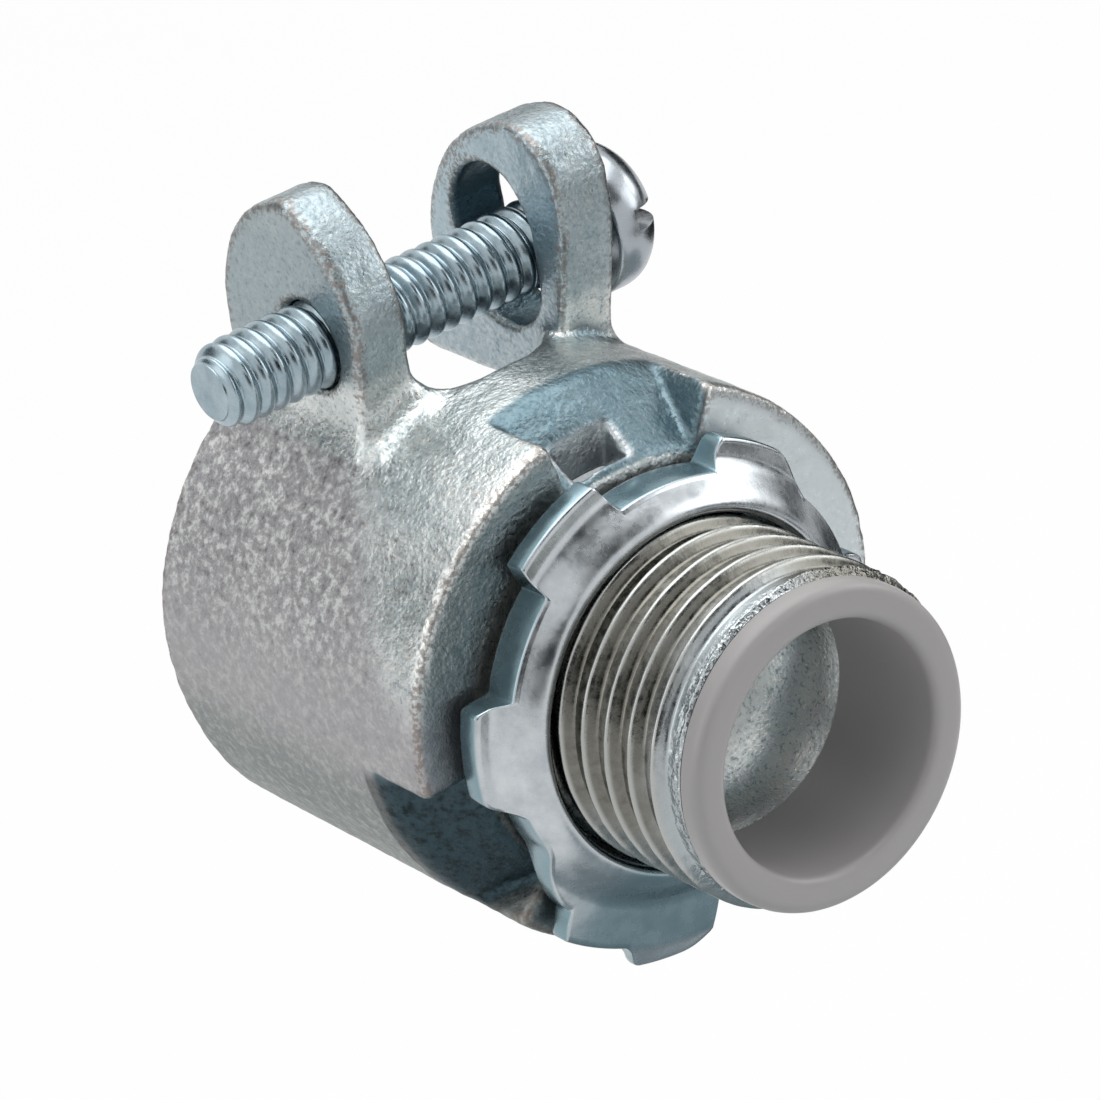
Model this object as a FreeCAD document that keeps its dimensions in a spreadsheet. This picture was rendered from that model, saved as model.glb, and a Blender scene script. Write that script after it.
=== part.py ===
import FreeCAD, Part
import os
import Sketcher
from math import cos, radians, sin
from FreeCAD import Placement, Rotation, Vector

# Straight squeeze connector for flexible metal conduit, trade size one half inch.
# Frame in mm: origin on the common axis at the shoulder's front face, +X out through the
# threaded nipple, +Z up to the clamp ears, clamp screw along Y with its head at +Y.

os.makedirs("parts", exist_ok=True)
doc = FreeCAD.newDocument("conduit_connector")

# How near a point has to lie to a surface to count as on it, and how often an edge is sampled
ON_FACE = 0.01
ON_BARREL = 0.02
SAMPLES = 9

# Driving sizes, each written once
SIZES = {
    # casting: conduit socket and barrel
    "socket_diameter": 26.0,
    "barrel_wall": 3.6,
    "barrel_length": 26.4,
    "shoulder_rise": 0.45,
    "shoulder_edge": 0.6,
    "rear_edge": 0.8,
    "front_wall": 2.2,
    "stop_bevel": 1.6,
    "mouth_bevel": 0.8,
    # casting: threaded nipple
    "nipple_diameter": 21.2,
    "nipple_length": 15.3,
    "nipple_wall": 1.8,
    "nipple_chamfer": 0.7,
    "runout_relief": 0.2,
    "runout_margin": 0.4,
    # casting: split and ears, along X from the rear face and upward from the barrel's top
    "split_width": 10.7,
    "split_length": 16.4,
    "near_ear_thickness": 3.85,
    "near_ear_rear": 1.8,
    "near_ear_rear_rise": 4.4,
    "near_ear_rear_bulge": 1.94,
    "near_ear_top": 9.4,
    "near_ear_height": 13.1,
    "near_ear_front": 14.7,
    "near_ear_front_rise": 6.2,
    "near_ear_front_bulge": 0.8,
    "near_ear_bend_rise": 5.0,
    "near_ear_foot": 13.3,
    "far_ear_thickness": 4.05,
    "far_ear_rear": 2.6,
    "far_ear_rear_rise": 4.0,
    "far_ear_rear_bulge": 2.3,
    "far_ear_top": 13.0,
    "far_ear_height": 13.2,
    "far_ear_front": 16.8,
    "far_ear_front_rise": 9.6,
    "far_ear_front_bulge": 1.3,
    "far_ear_bend_rise": 6.8,
    "far_ear_foot": 13.0,
    "ear_root": 8.6,
    "ear_corner": 2.0,
    "ear_rim": 1.25,
    "ear_blend": 1.5,
    "spare_stock": 10.0,
    "cut_overshoot": 1.0,
    # casting: clearance hole of the far ear, round the screw
    "far_hole_play": 2.16,
    "far_hole_stretch": 2.8,
    "far_hole_back": 0.3,
    "far_hole_lift": 0.7,
    # casting: shoulder recesses and the inspection slot
    "recess_centre": 85.5,
    "recess_angle": 40.0,
    "recess_count": 3,
    "recess_depth": 3.85,
    "recess_slope": 0.78,
    "inspection_angle": 16.0,
    "inspection_offset": 8.5,
    "inspection_front": 0.7,
    "inspection_length": 2.7,
    "inspection_reach": 3.0,
    # throat insulator
    "liner_clearance": 0.05,
    "liner_wall": 1.0,
    "liner_depth": 7.3,
    "lip_thickness": 1.7,
    "lip_inset": 0.45,
    "lip_back_edge": 0.35,
    "lip_crown": 0.9,
    "crown_share": 0.3,
    "lip_mouth": 0.6,
    # locknut
    "nut_clearance": 0.15,
    "nut_stand_off": 0.9,
    "nut_height": 3.9,
    "nut_sheet": 2.1,
    "nut_collar": 1.0,
    "nut_collar_length": 2.3,
    "nut_edge": 0.35,
    "nut_rim_width": 2.25,
    "nut_rim_land": 0.7,
    "lobe_count": 6,
    "lobe_height": 1.9,
    "lobe_root": 0.4,
    "lobe_half_angle": 14.0,
    "lobe_start": 57.0,
    "long_lobe_height": 4.6,
    "long_lobe_lead": 7.0,
    "long_lobe_rise": 18.0,
    "long_lobe_fall": 7.0,
    "long_lobe_spread": 41.0,
    # clamp screw
    "screw_diameter": 5.44,
    "screw_clearance": 0.08,
    "screw_from_rear": 9.9,
    "screw_above_barrel": 3.7,
    "screw_projection": 7.0,
    "screw_tip_chamfer": 0.75,
    "head_back_off": 1.5,
    "head_diameter": 9.5,
    "head_height": 4.7,
    "head_rim": 1.7,
    "drive_width": 1.3,
    "drive_depth": 3.1,
    "drive_angle": 170.0,
}


class Size:
    """A number together with the sheet expression that it comes from."""

    def __init__(self, value, text):
        self.value = value
        self.text = text

    def _join(self, other, sign, value):
        return Size(value, "(%s %s %s)" % (self.text, sign, other.text))

    def __add__(self, other):
        other = as_size(other)
        return self._join(other, "+", self.value + other.value)

    def __sub__(self, other):
        other = as_size(other)
        return self._join(other, "-", self.value - other.value)

    def __mul__(self, other):
        other = as_size(other)
        return self._join(other, "*", self.value * other.value)

    def __truediv__(self, other):
        other = as_size(other)
        return self._join(other, "/", self.value / other.value)

    def __neg__(self):
        return Size(-self.value, "(0 - %s)" % self.text)


def as_size(number):
    """Give a plain number as a Size."""
    return number if isinstance(number, Size) else Size(float(number), repr(float(number)))


def polar(radius, angle):
    """Give the two coordinates of a point at a radius and an angle in degrees, both Sizes."""
    turn = radians(angle.value)
    across = Size(radius.value * cos(turn), "(%s * cos(%s * 1 deg))" % (radius.text, angle.text))
    upward = Size(radius.value * sin(turn), "(%s * sin(%s * 1 deg))" % (radius.text, angle.text))
    return across, upward


def bulge_radius(across, upward, bulge):
    """Give the radius of an arc that bulges by a given height over a chord, all Sizes."""
    quarter = (across * across + upward * upward) / 4
    return (quarter + bulge * bulge) / (bulge * 2)


sheet = doc.addObject("Spreadsheet::Sheet", "Sizes")
S = {}
for row, (name, number) in enumerate(SIZES.items(), start=1):
    sheet.set("A%d" % row, name)
    sheet.set("B%d" % row, str(number))
    sheet.setAlias("B%d" % row, name)
    S[name] = Size(float(number), "Sizes.%s" % name)
doc.recompute()


def bind(target, prop, size):
    """Drive a property of an object from the sheet."""
    target.setExpression(prop, as_size(size).text)


def new_body(label):
    """Start a named body for one piece."""
    body = doc.addObject("PartDesign::Body", label)
    body.Label = label
    return body


def origin_item(body, role):
    """Find a plane or an axis of the body's own origin by its role."""
    return [item for item in body.Origin.OriginFeatures if item.Role == role][0]


def new_sketch(body, role, name, offset=None, turn=None):
    """Attach a sketch to an origin plane, lifted off it by offset or turned about its own x axis."""
    sketch = body.newObject("Sketcher::SketchObject", name)
    sketch.AttachmentSupport = [(origin_item(body, role), "")]
    sketch.MapMode = "FlatFace"
    if turn is not None:
        sketch.AttachmentOffset = Placement(Vector(0, 0, 0), Rotation(Vector(1, 0, 0), turn.value))
        bind(sketch, "AttachmentOffset.Rotation.Angle", turn)
    if offset is not None:
        sketch.AttachmentOffset = Placement(Vector(0, 0, offset.value), Rotation())
        bind(sketch, "AttachmentOffset.Base.z", offset)
    doc.recompute()
    return sketch


def fix_point(sketch, geo, pos, corner):
    """Hold one end of an edge at two coordinates from the sheet."""
    for kind, size in (("DistanceX", corner[0]), ("DistanceY", corner[1])):
        index = sketch.addConstraint(Sketcher.Constraint(kind, -1, 1, geo, pos, as_size(size).value))
        bind(sketch, "Constraints[%d]" % index, size)


def arc_middle(start, end, radius):
    """Give the point half way along the arc of a radius, bulging to the right of start to end."""
    chord = end - start
    half = chord.Length / 2
    rise = radius - (radius ** 2 - half ** 2) ** 0.5
    side = Vector(chord.y, -chord.x, 0).normalize()
    return start + chord * 0.5 + side * rise


def outline(sketch, corners):
    """Draw a closed outline. A corner is x, y and, where an arc leaves it, the arc's radius."""
    points = [Vector(as_size(c[0]).value, as_size(c[1]).value, 0) for c in corners]
    edges = []
    for index, corner in enumerate(corners):
        start = points[index]
        end = points[(index + 1) % len(points)]
        if len(corner) > 2:
            middle = arc_middle(start, end, as_size(corner[2]).value)
            edge = Part.Arc(start, middle, end)
        else:
            edge = Part.LineSegment(start, end)
        edges.append(sketch.addGeometry(edge, False))
    ends = []
    for index, geo in enumerate(edges):
        shape = sketch.Geometry[geo]
        forward = (shape.StartPoint - points[index]).Length < 1e-6
        ends.append((1, 2) if forward else (2, 1))
    for index, geo in enumerate(edges):
        after = (index + 1) % len(edges)
        joint = Sketcher.Constraint("Coincident", geo, ends[index][1], edges[after], ends[after][0])
        sketch.addConstraint(joint)
    for index, corner in enumerate(corners):
        fix_point(sketch, edges[index], ends[index][0], corner)
        if len(corner) > 2:
            size = as_size(corner[2])
            number = sketch.addConstraint(Sketcher.Constraint("Radius", edges[index], size.value))
            bind(sketch, "Constraints[%d]" % number, size)
    doc.recompute()
    return sketch


def disc(sketch, across, upward, radius):
    """Draw a circle at two coordinates with a radius, all from the sheet."""
    centre = Vector(as_size(across).value, as_size(upward).value, 0)
    geo = sketch.addGeometry(Part.Circle(centre, Vector(0, 0, 1), as_size(radius).value), False)
    fix_point(sketch, geo, 3, (across, upward))
    number = sketch.addConstraint(Sketcher.Constraint("Radius", geo, as_size(radius).value))
    bind(sketch, "Constraints[%d]" % number, radius)
    doc.recompute()
    return sketch


def feature(body, kind, name, sketch):
    """Start a feature of the body on a sketch."""
    item = body.newObject("PartDesign::" + kind, name)
    item.Profile = sketch
    sketch.Visibility = False
    return item


def turned(body, kind, name, sketch, axis="H_Axis", angle=None):
    """Revolve a sketch about one of its axes: a Revolution adds, a Groove takes away."""
    item = feature(body, kind, name, sketch)
    item.ReferenceAxis = (sketch, [axis])
    item.Angle = 360.0
    if angle is not None:
        item.Midplane = True
        bind(item, "Angle", angle)
    doc.recompute()
    return item


def straight(body, kind, name, sketch, length=None, reverse=False):
    """Extrude a sketch: a Pad adds, a Pocket takes away. Without a length it goes right through."""
    item = feature(body, kind, name, sketch)
    item.Reversed = reverse
    if length is None:
        item.Type = "ThroughAll"
    else:
        item.Type = "Length"
        item.Length = as_size(length).value
        bind(item, "Length", length)
    doc.recompute()
    return item


def around(body, name, originals, count, role="X_Axis"):
    """Repeat features evenly about an origin axis."""
    item = body.newObject("PartDesign::PolarPattern", name)
    item.Originals = originals
    item.Axis = (origin_item(body, role), [""])
    item.Angle = 360.0
    item.Occurrences = int(count.value)
    bind(item, "Occurrences", count)
    body.Tip = item
    doc.recompute()
    return item


def picked_edges(shape, wanted):
    """Name the edges of a shape that the test picks."""
    names = []
    for index, edge in enumerate(shape.Edges, start=1):
        middle = edge.valueAt((edge.FirstParameter + edge.LastParameter) / 2)
        if wanted(edge, middle):
            names.append("Edge%d" % index)
    return names


def rounded(body, name, radius, wanted):
    """Round the edges of the body's last feature that the test picks."""
    base = body.Tip
    item = body.newObject("PartDesign::Fillet", name)
    item.Base = (base, picked_edges(base.Shape, wanted))
    item.Radius = as_size(radius).value
    bind(item, "Radius", radius)
    doc.recompute()
    return item


def eased(body, name, size, wanted):
    """Bevel the edges of the body's last feature that the test picks."""
    base = body.Tip
    item = body.newObject("PartDesign::Chamfer", name)
    item.Base = (base, picked_edges(base.Shape, wanted))
    item.Size = as_size(size).value
    bind(item, "Size", size)
    doc.recompute()
    return item


# Radii and places that several pieces share
socket_r = S["socket_diameter"] / 2
rear_r = socket_r + S["barrel_wall"]
shoulder_r = rear_r + S["shoulder_rise"]
rear_x = -S["barrel_length"]
spare_x = rear_x - S["spare_stock"]
nipple_r = S["nipple_diameter"] / 2
liner_seat_r = nipple_r - S["nipple_wall"]
throat_r = liner_seat_r - S["liner_wall"]
nipple_end = S["nipple_length"]
liner_back = nipple_end - S["liner_depth"]
nut_back = S["nut_stand_off"]
nut_front = nut_back + S["nut_height"]
half_split = S["split_width"] / 2
near_face_y = -(half_split + S["near_ear_thickness"])
far_face_y = half_split + S["far_ear_thickness"]
screw_x = rear_x + S["screw_from_rear"]
screw_z = rear_r + S["screw_above_barrel"]
shank_r = S["screw_diameter"] / 2
overshoot = S["cut_overshoot"]

# Connector body: one malleable-iron casting, turned stock first
casting = new_body("connector_body")
runout_end = nut_front + S["runout_margin"]
sk = new_sketch(casting, "XZ_Plane", "body_outline")
outline(sk, [
    (spare_x, 0),
    (nipple_end, 0),
    (nipple_end, nipple_r - S["nipple_chamfer"]),
    (nipple_end - S["nipple_chamfer"], nipple_r),
    (runout_end, nipple_r),
    (runout_end - S["runout_relief"], nipple_r - S["runout_relief"]),
    (0, nipple_r - S["runout_relief"]),
    (0, shoulder_r - S["shoulder_edge"]),
    (-S["shoulder_edge"], shoulder_r),
    (spare_x, rear_r),
])
turned(casting, "Revolution", "turned_stock", sk)


# Clamp ears: two lugs that stand on the barrel beside the split
def ear(name, side):
    """Raise one ear from the plane of the split's side; side is -1 for the tapped ear."""
    size = {key[len(name) + 1:]: S[key] for key in SIZES if key.startswith(name)}
    lift = half_split if side < 0 else -half_split
    root_z = rear_r - S["ear_root"]
    front_radius = bulge_radius(size["front"] - size["top"], size["height"] - size["front_rise"],
                                size["front_bulge"])
    rear_radius = bulge_radius(size["top"] - size["rear"], size["height"] - size["rear_rise"],
                               size["rear_bulge"])
    sketch = new_sketch(casting, "XZ_Plane", name + "_outline", offset=lift)
    outline(sketch, [
        (rear_x + size["rear"], root_z),
        (rear_x + size["foot"], root_z),
        (rear_x + size["front"], rear_r + size["bend_rise"]),
        (rear_x + size["front"], rear_r + size["front_rise"], front_radius),
        (rear_x + size["top"], rear_r + size["height"], rear_radius),
        (rear_x + size["rear"], rear_r + size["rear_rise"]),
    ])
    return straight(casting, "Pad", name, sketch, size["thickness"], reverse=side > 0)


ear("near_ear", -1)
ear("far_ear", 1)
ear_faces = (near_face_y, -half_split, half_split, far_face_y)


def on_ear_face(point):
    """Tell a point that lies on one of the four flat faces of the ears."""
    return any(abs(point.y - face.value) < ON_FACE for face in ear_faces)


def on_barrel(point):
    """Tell a point of the upper half that lies on the barrel's tapered outside."""
    taper = S["shoulder_rise"].value / (-S["shoulder_edge"].value - spare_x.value)
    radius = rear_r.value + taper * (point.x - spare_x.value)
    off = abs((point.y ** 2 + point.z ** 2) ** 0.5 - radius)
    return off < ON_BARREL and point.z > rear_r.value / 3


def ear_corner(edge, middle):
    """Tell a corner of an ear's outline: an edge straight across, from face to face."""
    straight_across = abs(edge.tangentAt(edge.FirstParameter).y) > 0.99
    return straight_across and middle.z > shoulder_r.value and abs(middle.y) > half_split.value


def ear_rim(edge, middle):
    """Tell an edge round a flat face of an ear, from the barrel upward."""
    return on_ear_face(middle) and middle.z > rear_r.value / 2 and not on_barrel(middle)


def ear_foot(edge, middle):
    """Tell an edge where an ear stands on the barrel."""
    step = (edge.LastParameter - edge.FirstParameter) / (SAMPLES - 1)
    places = [edge.FirstParameter + step * index for index in range(SAMPLES)]
    return all(on_barrel(edge.valueAt(place)) for place in places)


rounded(casting, "ear_corners", S["ear_corner"], ear_corner)
rounded(casting, "ear_rims", S["ear_rim"], ear_rim)
rounded(casting, "ear_blends", S["ear_blend"], ear_foot)

# The spare stock behind the barrel comes off, and the rear edge is eased
sk = new_sketch(casting, "XZ_Plane", "trim_outline")
trim_r = rear_r + S["near_ear_height"] + S["far_ear_height"]
outline(sk, [
    (spare_x - overshoot, 0),
    (rear_x, 0),
    (rear_x, trim_r),
    (spare_x - overshoot, trim_r),
])
turned(casting, "Groove", "rear_trim", sk)


def rear_rim(edge, middle):
    """Tell the outer edge of the trimmed rear face."""
    return abs(middle.x - rear_x.value) < ON_FACE


eased(casting, "rear_edge", S["rear_edge"], rear_rim)

# Split from the rear, round ended, between the ears
sk = new_sketch(casting, "XY_Plane", "split_outline")
split_end = rear_x + S["split_length"]
outline(sk, [
    (rear_x - overshoot, -half_split),
    (split_end - half_split, -half_split, half_split),
    (split_end, 0, half_split),
    (split_end - half_split, half_split),
    (rear_x - overshoot, half_split),
])
straight(casting, "Pocket", "barrel_split", sk, reverse=True)

# Conduit socket, its stop, the wire throat and the seat of the insulator
sk = new_sketch(casting, "XZ_Plane", "socket_outline")
stop_x = -S["front_wall"]
outline(sk, [
    (rear_x, 0),
    (nipple_end, 0),
    (nipple_end, liner_seat_r),
    (liner_back, liner_seat_r),
    (liner_back, throat_r),
    (stop_x, throat_r),
    (stop_x, socket_r - S["stop_bevel"]),
    (stop_x - S["stop_bevel"], socket_r),
    (rear_x + S["mouth_bevel"], socket_r),
    (rear_x, socket_r + S["mouth_bevel"]),
])
turned(casting, "Groove", "conduit_socket", sk)

# Tapped hole in the near ear and the tall clearance hole in the far ear
sk = new_sketch(casting, "XZ_Plane", "tapped_hole_outline")
disc(sk, screw_x, screw_z, shank_r + S["screw_clearance"])
straight(casting, "Pocket", "tapped_hole", sk, reverse=True)
sk = new_sketch(casting, "XZ_Plane", "far_hole_outline")
hole_r = shank_r + S["far_hole_play"] / 2
hole_x = screw_x - S["far_hole_back"]
hole_low = screw_z + S["far_hole_lift"] - S["far_hole_stretch"] / 2
hole_high = screw_z + S["far_hole_lift"] + S["far_hole_stretch"] / 2
outline(sk, [
    (hole_x - hole_r, hole_low, hole_r),
    (hole_x, hole_low - hole_r, hole_r),
    (hole_x + hole_r, hole_low),
    (hole_x + hole_r, hole_high, hole_r),
    (hole_x, hole_high + hole_r, hole_r),
    (hole_x - hole_r, hole_high),
])
straight(casting, "Pocket", "far_hole", sk)

# Shoulder recesses with sloping floors, and an inspection slot from the top one to the socket
tilt = S["recess_centre"] - 90
recess_top = shoulder_r + overshoot
recess_floor = shoulder_r - S["recess_depth"]
sk = new_sketch(casting, "XZ_Plane", "recess_outline", turn=tilt)
outline(sk, [
    (-(recess_top - recess_floor) / S["recess_slope"], recess_top),
    (0, recess_floor),
    (overshoot, recess_floor),
    (overshoot, recess_top),
])
recess = turned(casting, "Groove", "shoulder_recess", sk, angle=S["recess_angle"])
around(casting, "recesses", [recess], S["recess_count"])
inspection_rear = -S["inspection_front"] - S["inspection_length"]
inspection_floor = socket_r - S["inspection_reach"]
sk = new_sketch(casting, "XZ_Plane", "inspection_outline", turn=tilt + S["inspection_offset"])
outline(sk, [
    (inspection_rear, inspection_floor),
    (-S["inspection_front"], inspection_floor),
    (-S["inspection_front"], recess_top),
    (inspection_rear, recess_top),
])
turned(casting, "Groove", "inspection_slot", sk, angle=S["inspection_angle"])

# Throat insulator: a moulded sleeve with a rounded lip over the nipple's end
insulator = new_body("throat_insulator")
sleeve_r = liner_seat_r - S["liner_clearance"]
sleeve_back = liner_back + S["liner_clearance"]
lip_r = nipple_r - S["lip_inset"]
lip_back = nipple_end + S["liner_clearance"]
lip_front = nipple_end + S["lip_thickness"]
sk = new_sketch(insulator, "XZ_Plane", "insulator_outline")
outline(sk, [
    (sleeve_back, throat_r),
    (lip_front - S["lip_mouth"], throat_r),
    (lip_front, throat_r + S["lip_mouth"]),
    (lip_front, lip_r - S["lip_crown"]),
    (lip_front - S["lip_crown"] * S["crown_share"], lip_r - S["lip_crown"] * S["crown_share"]),
    (lip_front - S["lip_crown"], lip_r),
    (lip_back + S["lip_back_edge"], lip_r),
    (lip_back, lip_r - S["lip_back_edge"]),
    (lip_back, sleeve_r),
    (sleeve_back, sleeve_r),
])
turned(insulator, "Revolution", "moulded_sleeve", sk)

# Locknut: dished stamping, then the lobes on its rim
nut = new_body("locknut")
bore_r = nipple_r + S["nut_clearance"]
rim_r = bore_r + S["nut_rim_width"]
collar_r = bore_r + S["nut_collar"]
sk = new_sketch(nut, "XZ_Plane", "nut_outline")
outline(sk, [
    (nut_back, rim_r - S["nut_rim_land"]),
    (nut_front - S["nut_collar_length"], bore_r),
    (nut_front, bore_r),
    (nut_front, collar_r - S["nut_edge"]),
    (nut_front - S["nut_edge"], collar_r),
    (nut_back + S["nut_sheet"], rim_r),
    (nut_back, rim_r),
])
turned(nut, "Revolution", "dished_ring", sk)
root_r = rim_r - S["lobe_root"]
lobe_r = rim_r + S["lobe_height"]
lobe_from = S["lobe_start"] - S["lobe_half_angle"]
lobe_to = S["lobe_start"] + S["lobe_half_angle"]
sk = new_sketch(nut, "YZ_Plane", "lobe_outline", offset=nut_back)
outline(sk, [
    polar(root_r, lobe_from),
    polar(lobe_r, lobe_from) + (lobe_r,),
    polar(lobe_r, lobe_to),
    polar(root_r, lobe_to),
])
lobe = straight(nut, "Pad", "lobe", sk, S["nut_sheet"])
around(nut, "lobes", [lobe], S["lobe_count"])
long_r = rim_r + S["long_lobe_height"]
long_from = S["lobe_start"] + 180 - S["long_lobe_lead"]
long_to = long_from + S["long_lobe_spread"]
sk = new_sketch(nut, "YZ_Plane", "long_lobe_outline", offset=nut_back)
outline(sk, [
    polar(root_r, long_from),
    polar(lobe_r, long_from),
    polar(long_r, long_from + S["long_lobe_rise"]) + (long_r,),
    polar(long_r, long_to - S["long_lobe_fall"]),
    polar(lobe_r, long_to),
    polar(root_r, long_to),
])
straight(nut, "Pad", "long_lobe", sk, S["nut_sheet"])

# Clamp screw: turned along its own Y axis, slotted, then set in the ears
screw = new_body("clamp_screw")
tip_y = near_face_y - S["screw_projection"]
head_y = far_face_y + S["head_back_off"]
head_r = S["head_diameter"] / 2
head_top = head_y + S["head_height"]
dome = S["head_height"] - S["head_rim"]
dome_r = (head_r * head_r + dome * dome) / (dome * 2)
sk = new_sketch(screw, "XY_Plane", "screw_outline")
outline(sk, [
    (0, tip_y),
    (shank_r - S["screw_tip_chamfer"], tip_y),
    (shank_r, tip_y + S["screw_tip_chamfer"]),
    (shank_r, head_y),
    (head_r, head_y),
    (head_r, head_y + S["head_rim"], dome_r),
    (0, head_top),
])
turned(screw, "Revolution", "turned_screw", sk, axis="V_Axis")
sk = new_sketch(screw, "XZ_Plane", "drive_outline", offset=-(head_top - S["drive_depth"]))
half_drive = S["drive_width"] / 2
drive_reach = head_r + overshoot
outline(sk, [
    (-drive_reach, -half_drive),
    (drive_reach, -half_drive),
    (drive_reach, half_drive),
    (-drive_reach, half_drive),
])
straight(screw, "Pocket", "drive_slot", sk)
screw.Placement = Placement(
    Vector(screw_x.value, 0, screw_z.value),
    Rotation(Vector(0, 1, 0), S["drive_angle"].value),
)
bind(screw, "Placement.Base.x", screw_x)
bind(screw, "Placement.Base.z", screw_z)
bind(screw, "Placement.Rotation.Angle", S["drive_angle"])
doc.recompute()

# Every object has to be sound before anything is written
for item in doc.Objects:
    if "Invalid" in item.State or "Error" in item.State:
        raise RuntimeError("%s did not build" % item.Name)
for body in (casting, insulator, nut, screw):
    shape = body.Shape
    if shape.isNull() or not shape.isValid() or len(shape.Solids) != 1:
        raise RuntimeError("%s is not one sound solid" % body.Label)
    shape.exportStep("parts/%s.step" % body.Label)
    box = shape.BoundBox
    print("%-18s %8.1f mm3  x %.2f..%.2f  y %.2f..%.2f  z %.2f..%.2f" % (
        body.Label, shape.Volume, box.XMin, box.XMax, box.YMin, box.YMax, box.ZMin, box.ZMax))
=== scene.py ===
"""Looks of a straight squeeze connector for flexible metal conduit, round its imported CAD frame.

Row frame in metres: +X out along the threaded nipple, +Z up to the clamp ears, the screw along Y.
Sizes in the classes below are in millimetres, angles in degrees from +Y towards +Z.
"""

import logging
import math
from dataclasses import dataclass, field
from enum import Enum
from typing import Any, Callable, Sequence

import bmesh
import bpy
import numpy as np
from mathutils import Matrix, Vector, noise


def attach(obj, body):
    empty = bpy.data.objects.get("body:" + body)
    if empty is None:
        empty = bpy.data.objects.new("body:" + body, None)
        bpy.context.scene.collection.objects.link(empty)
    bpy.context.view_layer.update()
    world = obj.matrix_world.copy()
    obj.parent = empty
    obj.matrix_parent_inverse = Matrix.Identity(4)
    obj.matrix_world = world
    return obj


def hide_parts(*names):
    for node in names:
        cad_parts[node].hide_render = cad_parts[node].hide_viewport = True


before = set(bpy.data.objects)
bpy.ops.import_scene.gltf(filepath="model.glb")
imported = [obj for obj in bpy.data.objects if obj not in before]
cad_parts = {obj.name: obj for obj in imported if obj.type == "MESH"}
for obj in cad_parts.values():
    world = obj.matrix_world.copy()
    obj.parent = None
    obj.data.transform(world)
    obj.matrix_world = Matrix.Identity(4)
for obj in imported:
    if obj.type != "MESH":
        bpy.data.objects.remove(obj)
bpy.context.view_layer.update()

LOG = logging.getLogger("conduit_connector")
MM = 0.001
WELD = 1e-7
TINY = 1e-12
CORNERS = ((-1, -1), (1, -1), (1, 1), (-1, 1))

Colour = tuple[float, float, float, float]
Span = tuple[float, float]
Place = tuple[float, float, float]
Array = np.ndarray
Mesh = bpy.types.Mesh
Material = bpy.types.Material
Piece = bpy.types.Object
Node = bpy.types.Node
Tree = bpy.types.NodeTree
Socket = bpy.types.NodeSocket

FULL: Span = (0.0, 1.0)


class Body(Enum):
    """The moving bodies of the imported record."""

    CONNECTOR = "connector"
    LOCKNUT = "locknut"
    SCREW = "clamp_screw"


class Axis(Enum):
    """The row axis that a turned or threaded piece lies along."""

    X = "x"
    Y = "y"


class Slot(Enum):
    """The record's material slots."""

    CASTING = "zinc_plated_casting"
    PLASTIC = "grey_thermoplastic"
    STAMPING = "zinc_plated_stamping"
    SCREW = "zinc_plated_screw"


def to_linear(code: str) -> Colour:
    """Turn an sRGB hex colour into linear light.

    Args:
        code: Six hex digits after a hash sign.

    Returns:
        Red, green, blue and full opacity.
    """
    channels = [int(code[i:i + 2], 16) / 255 for i in (1, 3, 5)]
    red, green, blue = (c / 12.92 if c <= 0.04045 else ((c + 0.055) / 1.055) ** 2.4
                        for c in channels)
    return red, green, blue, 1.0


def fill(tree: Tree, node: Node, inputs: dict[Any, Any]) -> None:
    """Set or link a node's inputs.

    Args:
        tree: The node's tree.
        node: The node.
        inputs: Values, or output sockets to link from, by the input's name or number.
    """
    for key, value in inputs.items():
        if isinstance(value, Socket):
            tree.links.new(value, node.inputs[key])
        else:
            node.inputs[key].default_value = value


def add_node(tree: Tree, kind: str, inputs: dict[Any, Any] | None = None,
             **settings: Any) -> Node:
    """Add a node, set its options, and fill its inputs.

    Args:
        tree: The node tree to add to.
        kind: The node's type name.
        inputs: Values or sockets by the input's name or number.
        settings: Values of the node's own properties.

    Returns:
        The new node.
    """
    node = tree.nodes.new(kind)
    for name, value in settings.items():
        setattr(node, name, value)
    fill(tree, node, inputs or {})
    return node


def maths(tree: Tree, operation: str, first: Any, second: Any = 0.0) -> Socket:
    """Work one number out of two.

    Args:
        tree: The node tree.
        operation: What to do.
        first: The first number or socket.
        second: The second number or socket.

    Returns:
        The result.
    """
    return add_node(tree, "ShaderNodeMath", {0: first, 1: second}, operation=operation).outputs[0]


def new_object(name: str, data: bpy.types.ID) -> Piece:
    """Link an object at the origin.

    Args:
        name: The object's name.
        data: Its mesh in the row frame, or its lamp or camera.

    Returns:
        The linked object.
    """
    piece = bpy.data.objects.new(name, data)
    bpy.context.scene.collection.objects.link(piece)
    return piece


def mesh_from(name: str, points: Array, faces: Sequence[Sequence[int]]) -> Mesh:
    """Make a smooth-shaded mesh from points in millimetres.

    Args:
        name: The mesh's name.
        points: One row per vertex.
        faces: Vertex numbers of each face.

    Returns:
        The mesh, in metres.
    """
    mesh = bpy.data.meshes.new(name)
    mesh.from_pydata((np.asarray(points, float) * MM).tolist(), [], faces)
    mesh.polygons.foreach_set("use_smooth", np.ones(len(mesh.polygons), bool))
    mesh.update()
    return mesh


def sheet(name: str, centre: Vector, turn: Matrix, size: Span) -> Piece:
    """Make a flat rectangle.

    Args:
        name: The object's name.
        centre: Its middle, in millimetres.
        turn: How it is turned from lying flat.
        size: Its width and height.

    Returns:
        The linked object.
    """
    points = [turn @ Vector((sx * size[0] / 2, sy * size[1] / 2, 0)) + centre
              for sx, sy in CORNERS]
    return new_object(name, mesh_from(name, np.array(points), [(0, 1, 2, 3)]))


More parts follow.
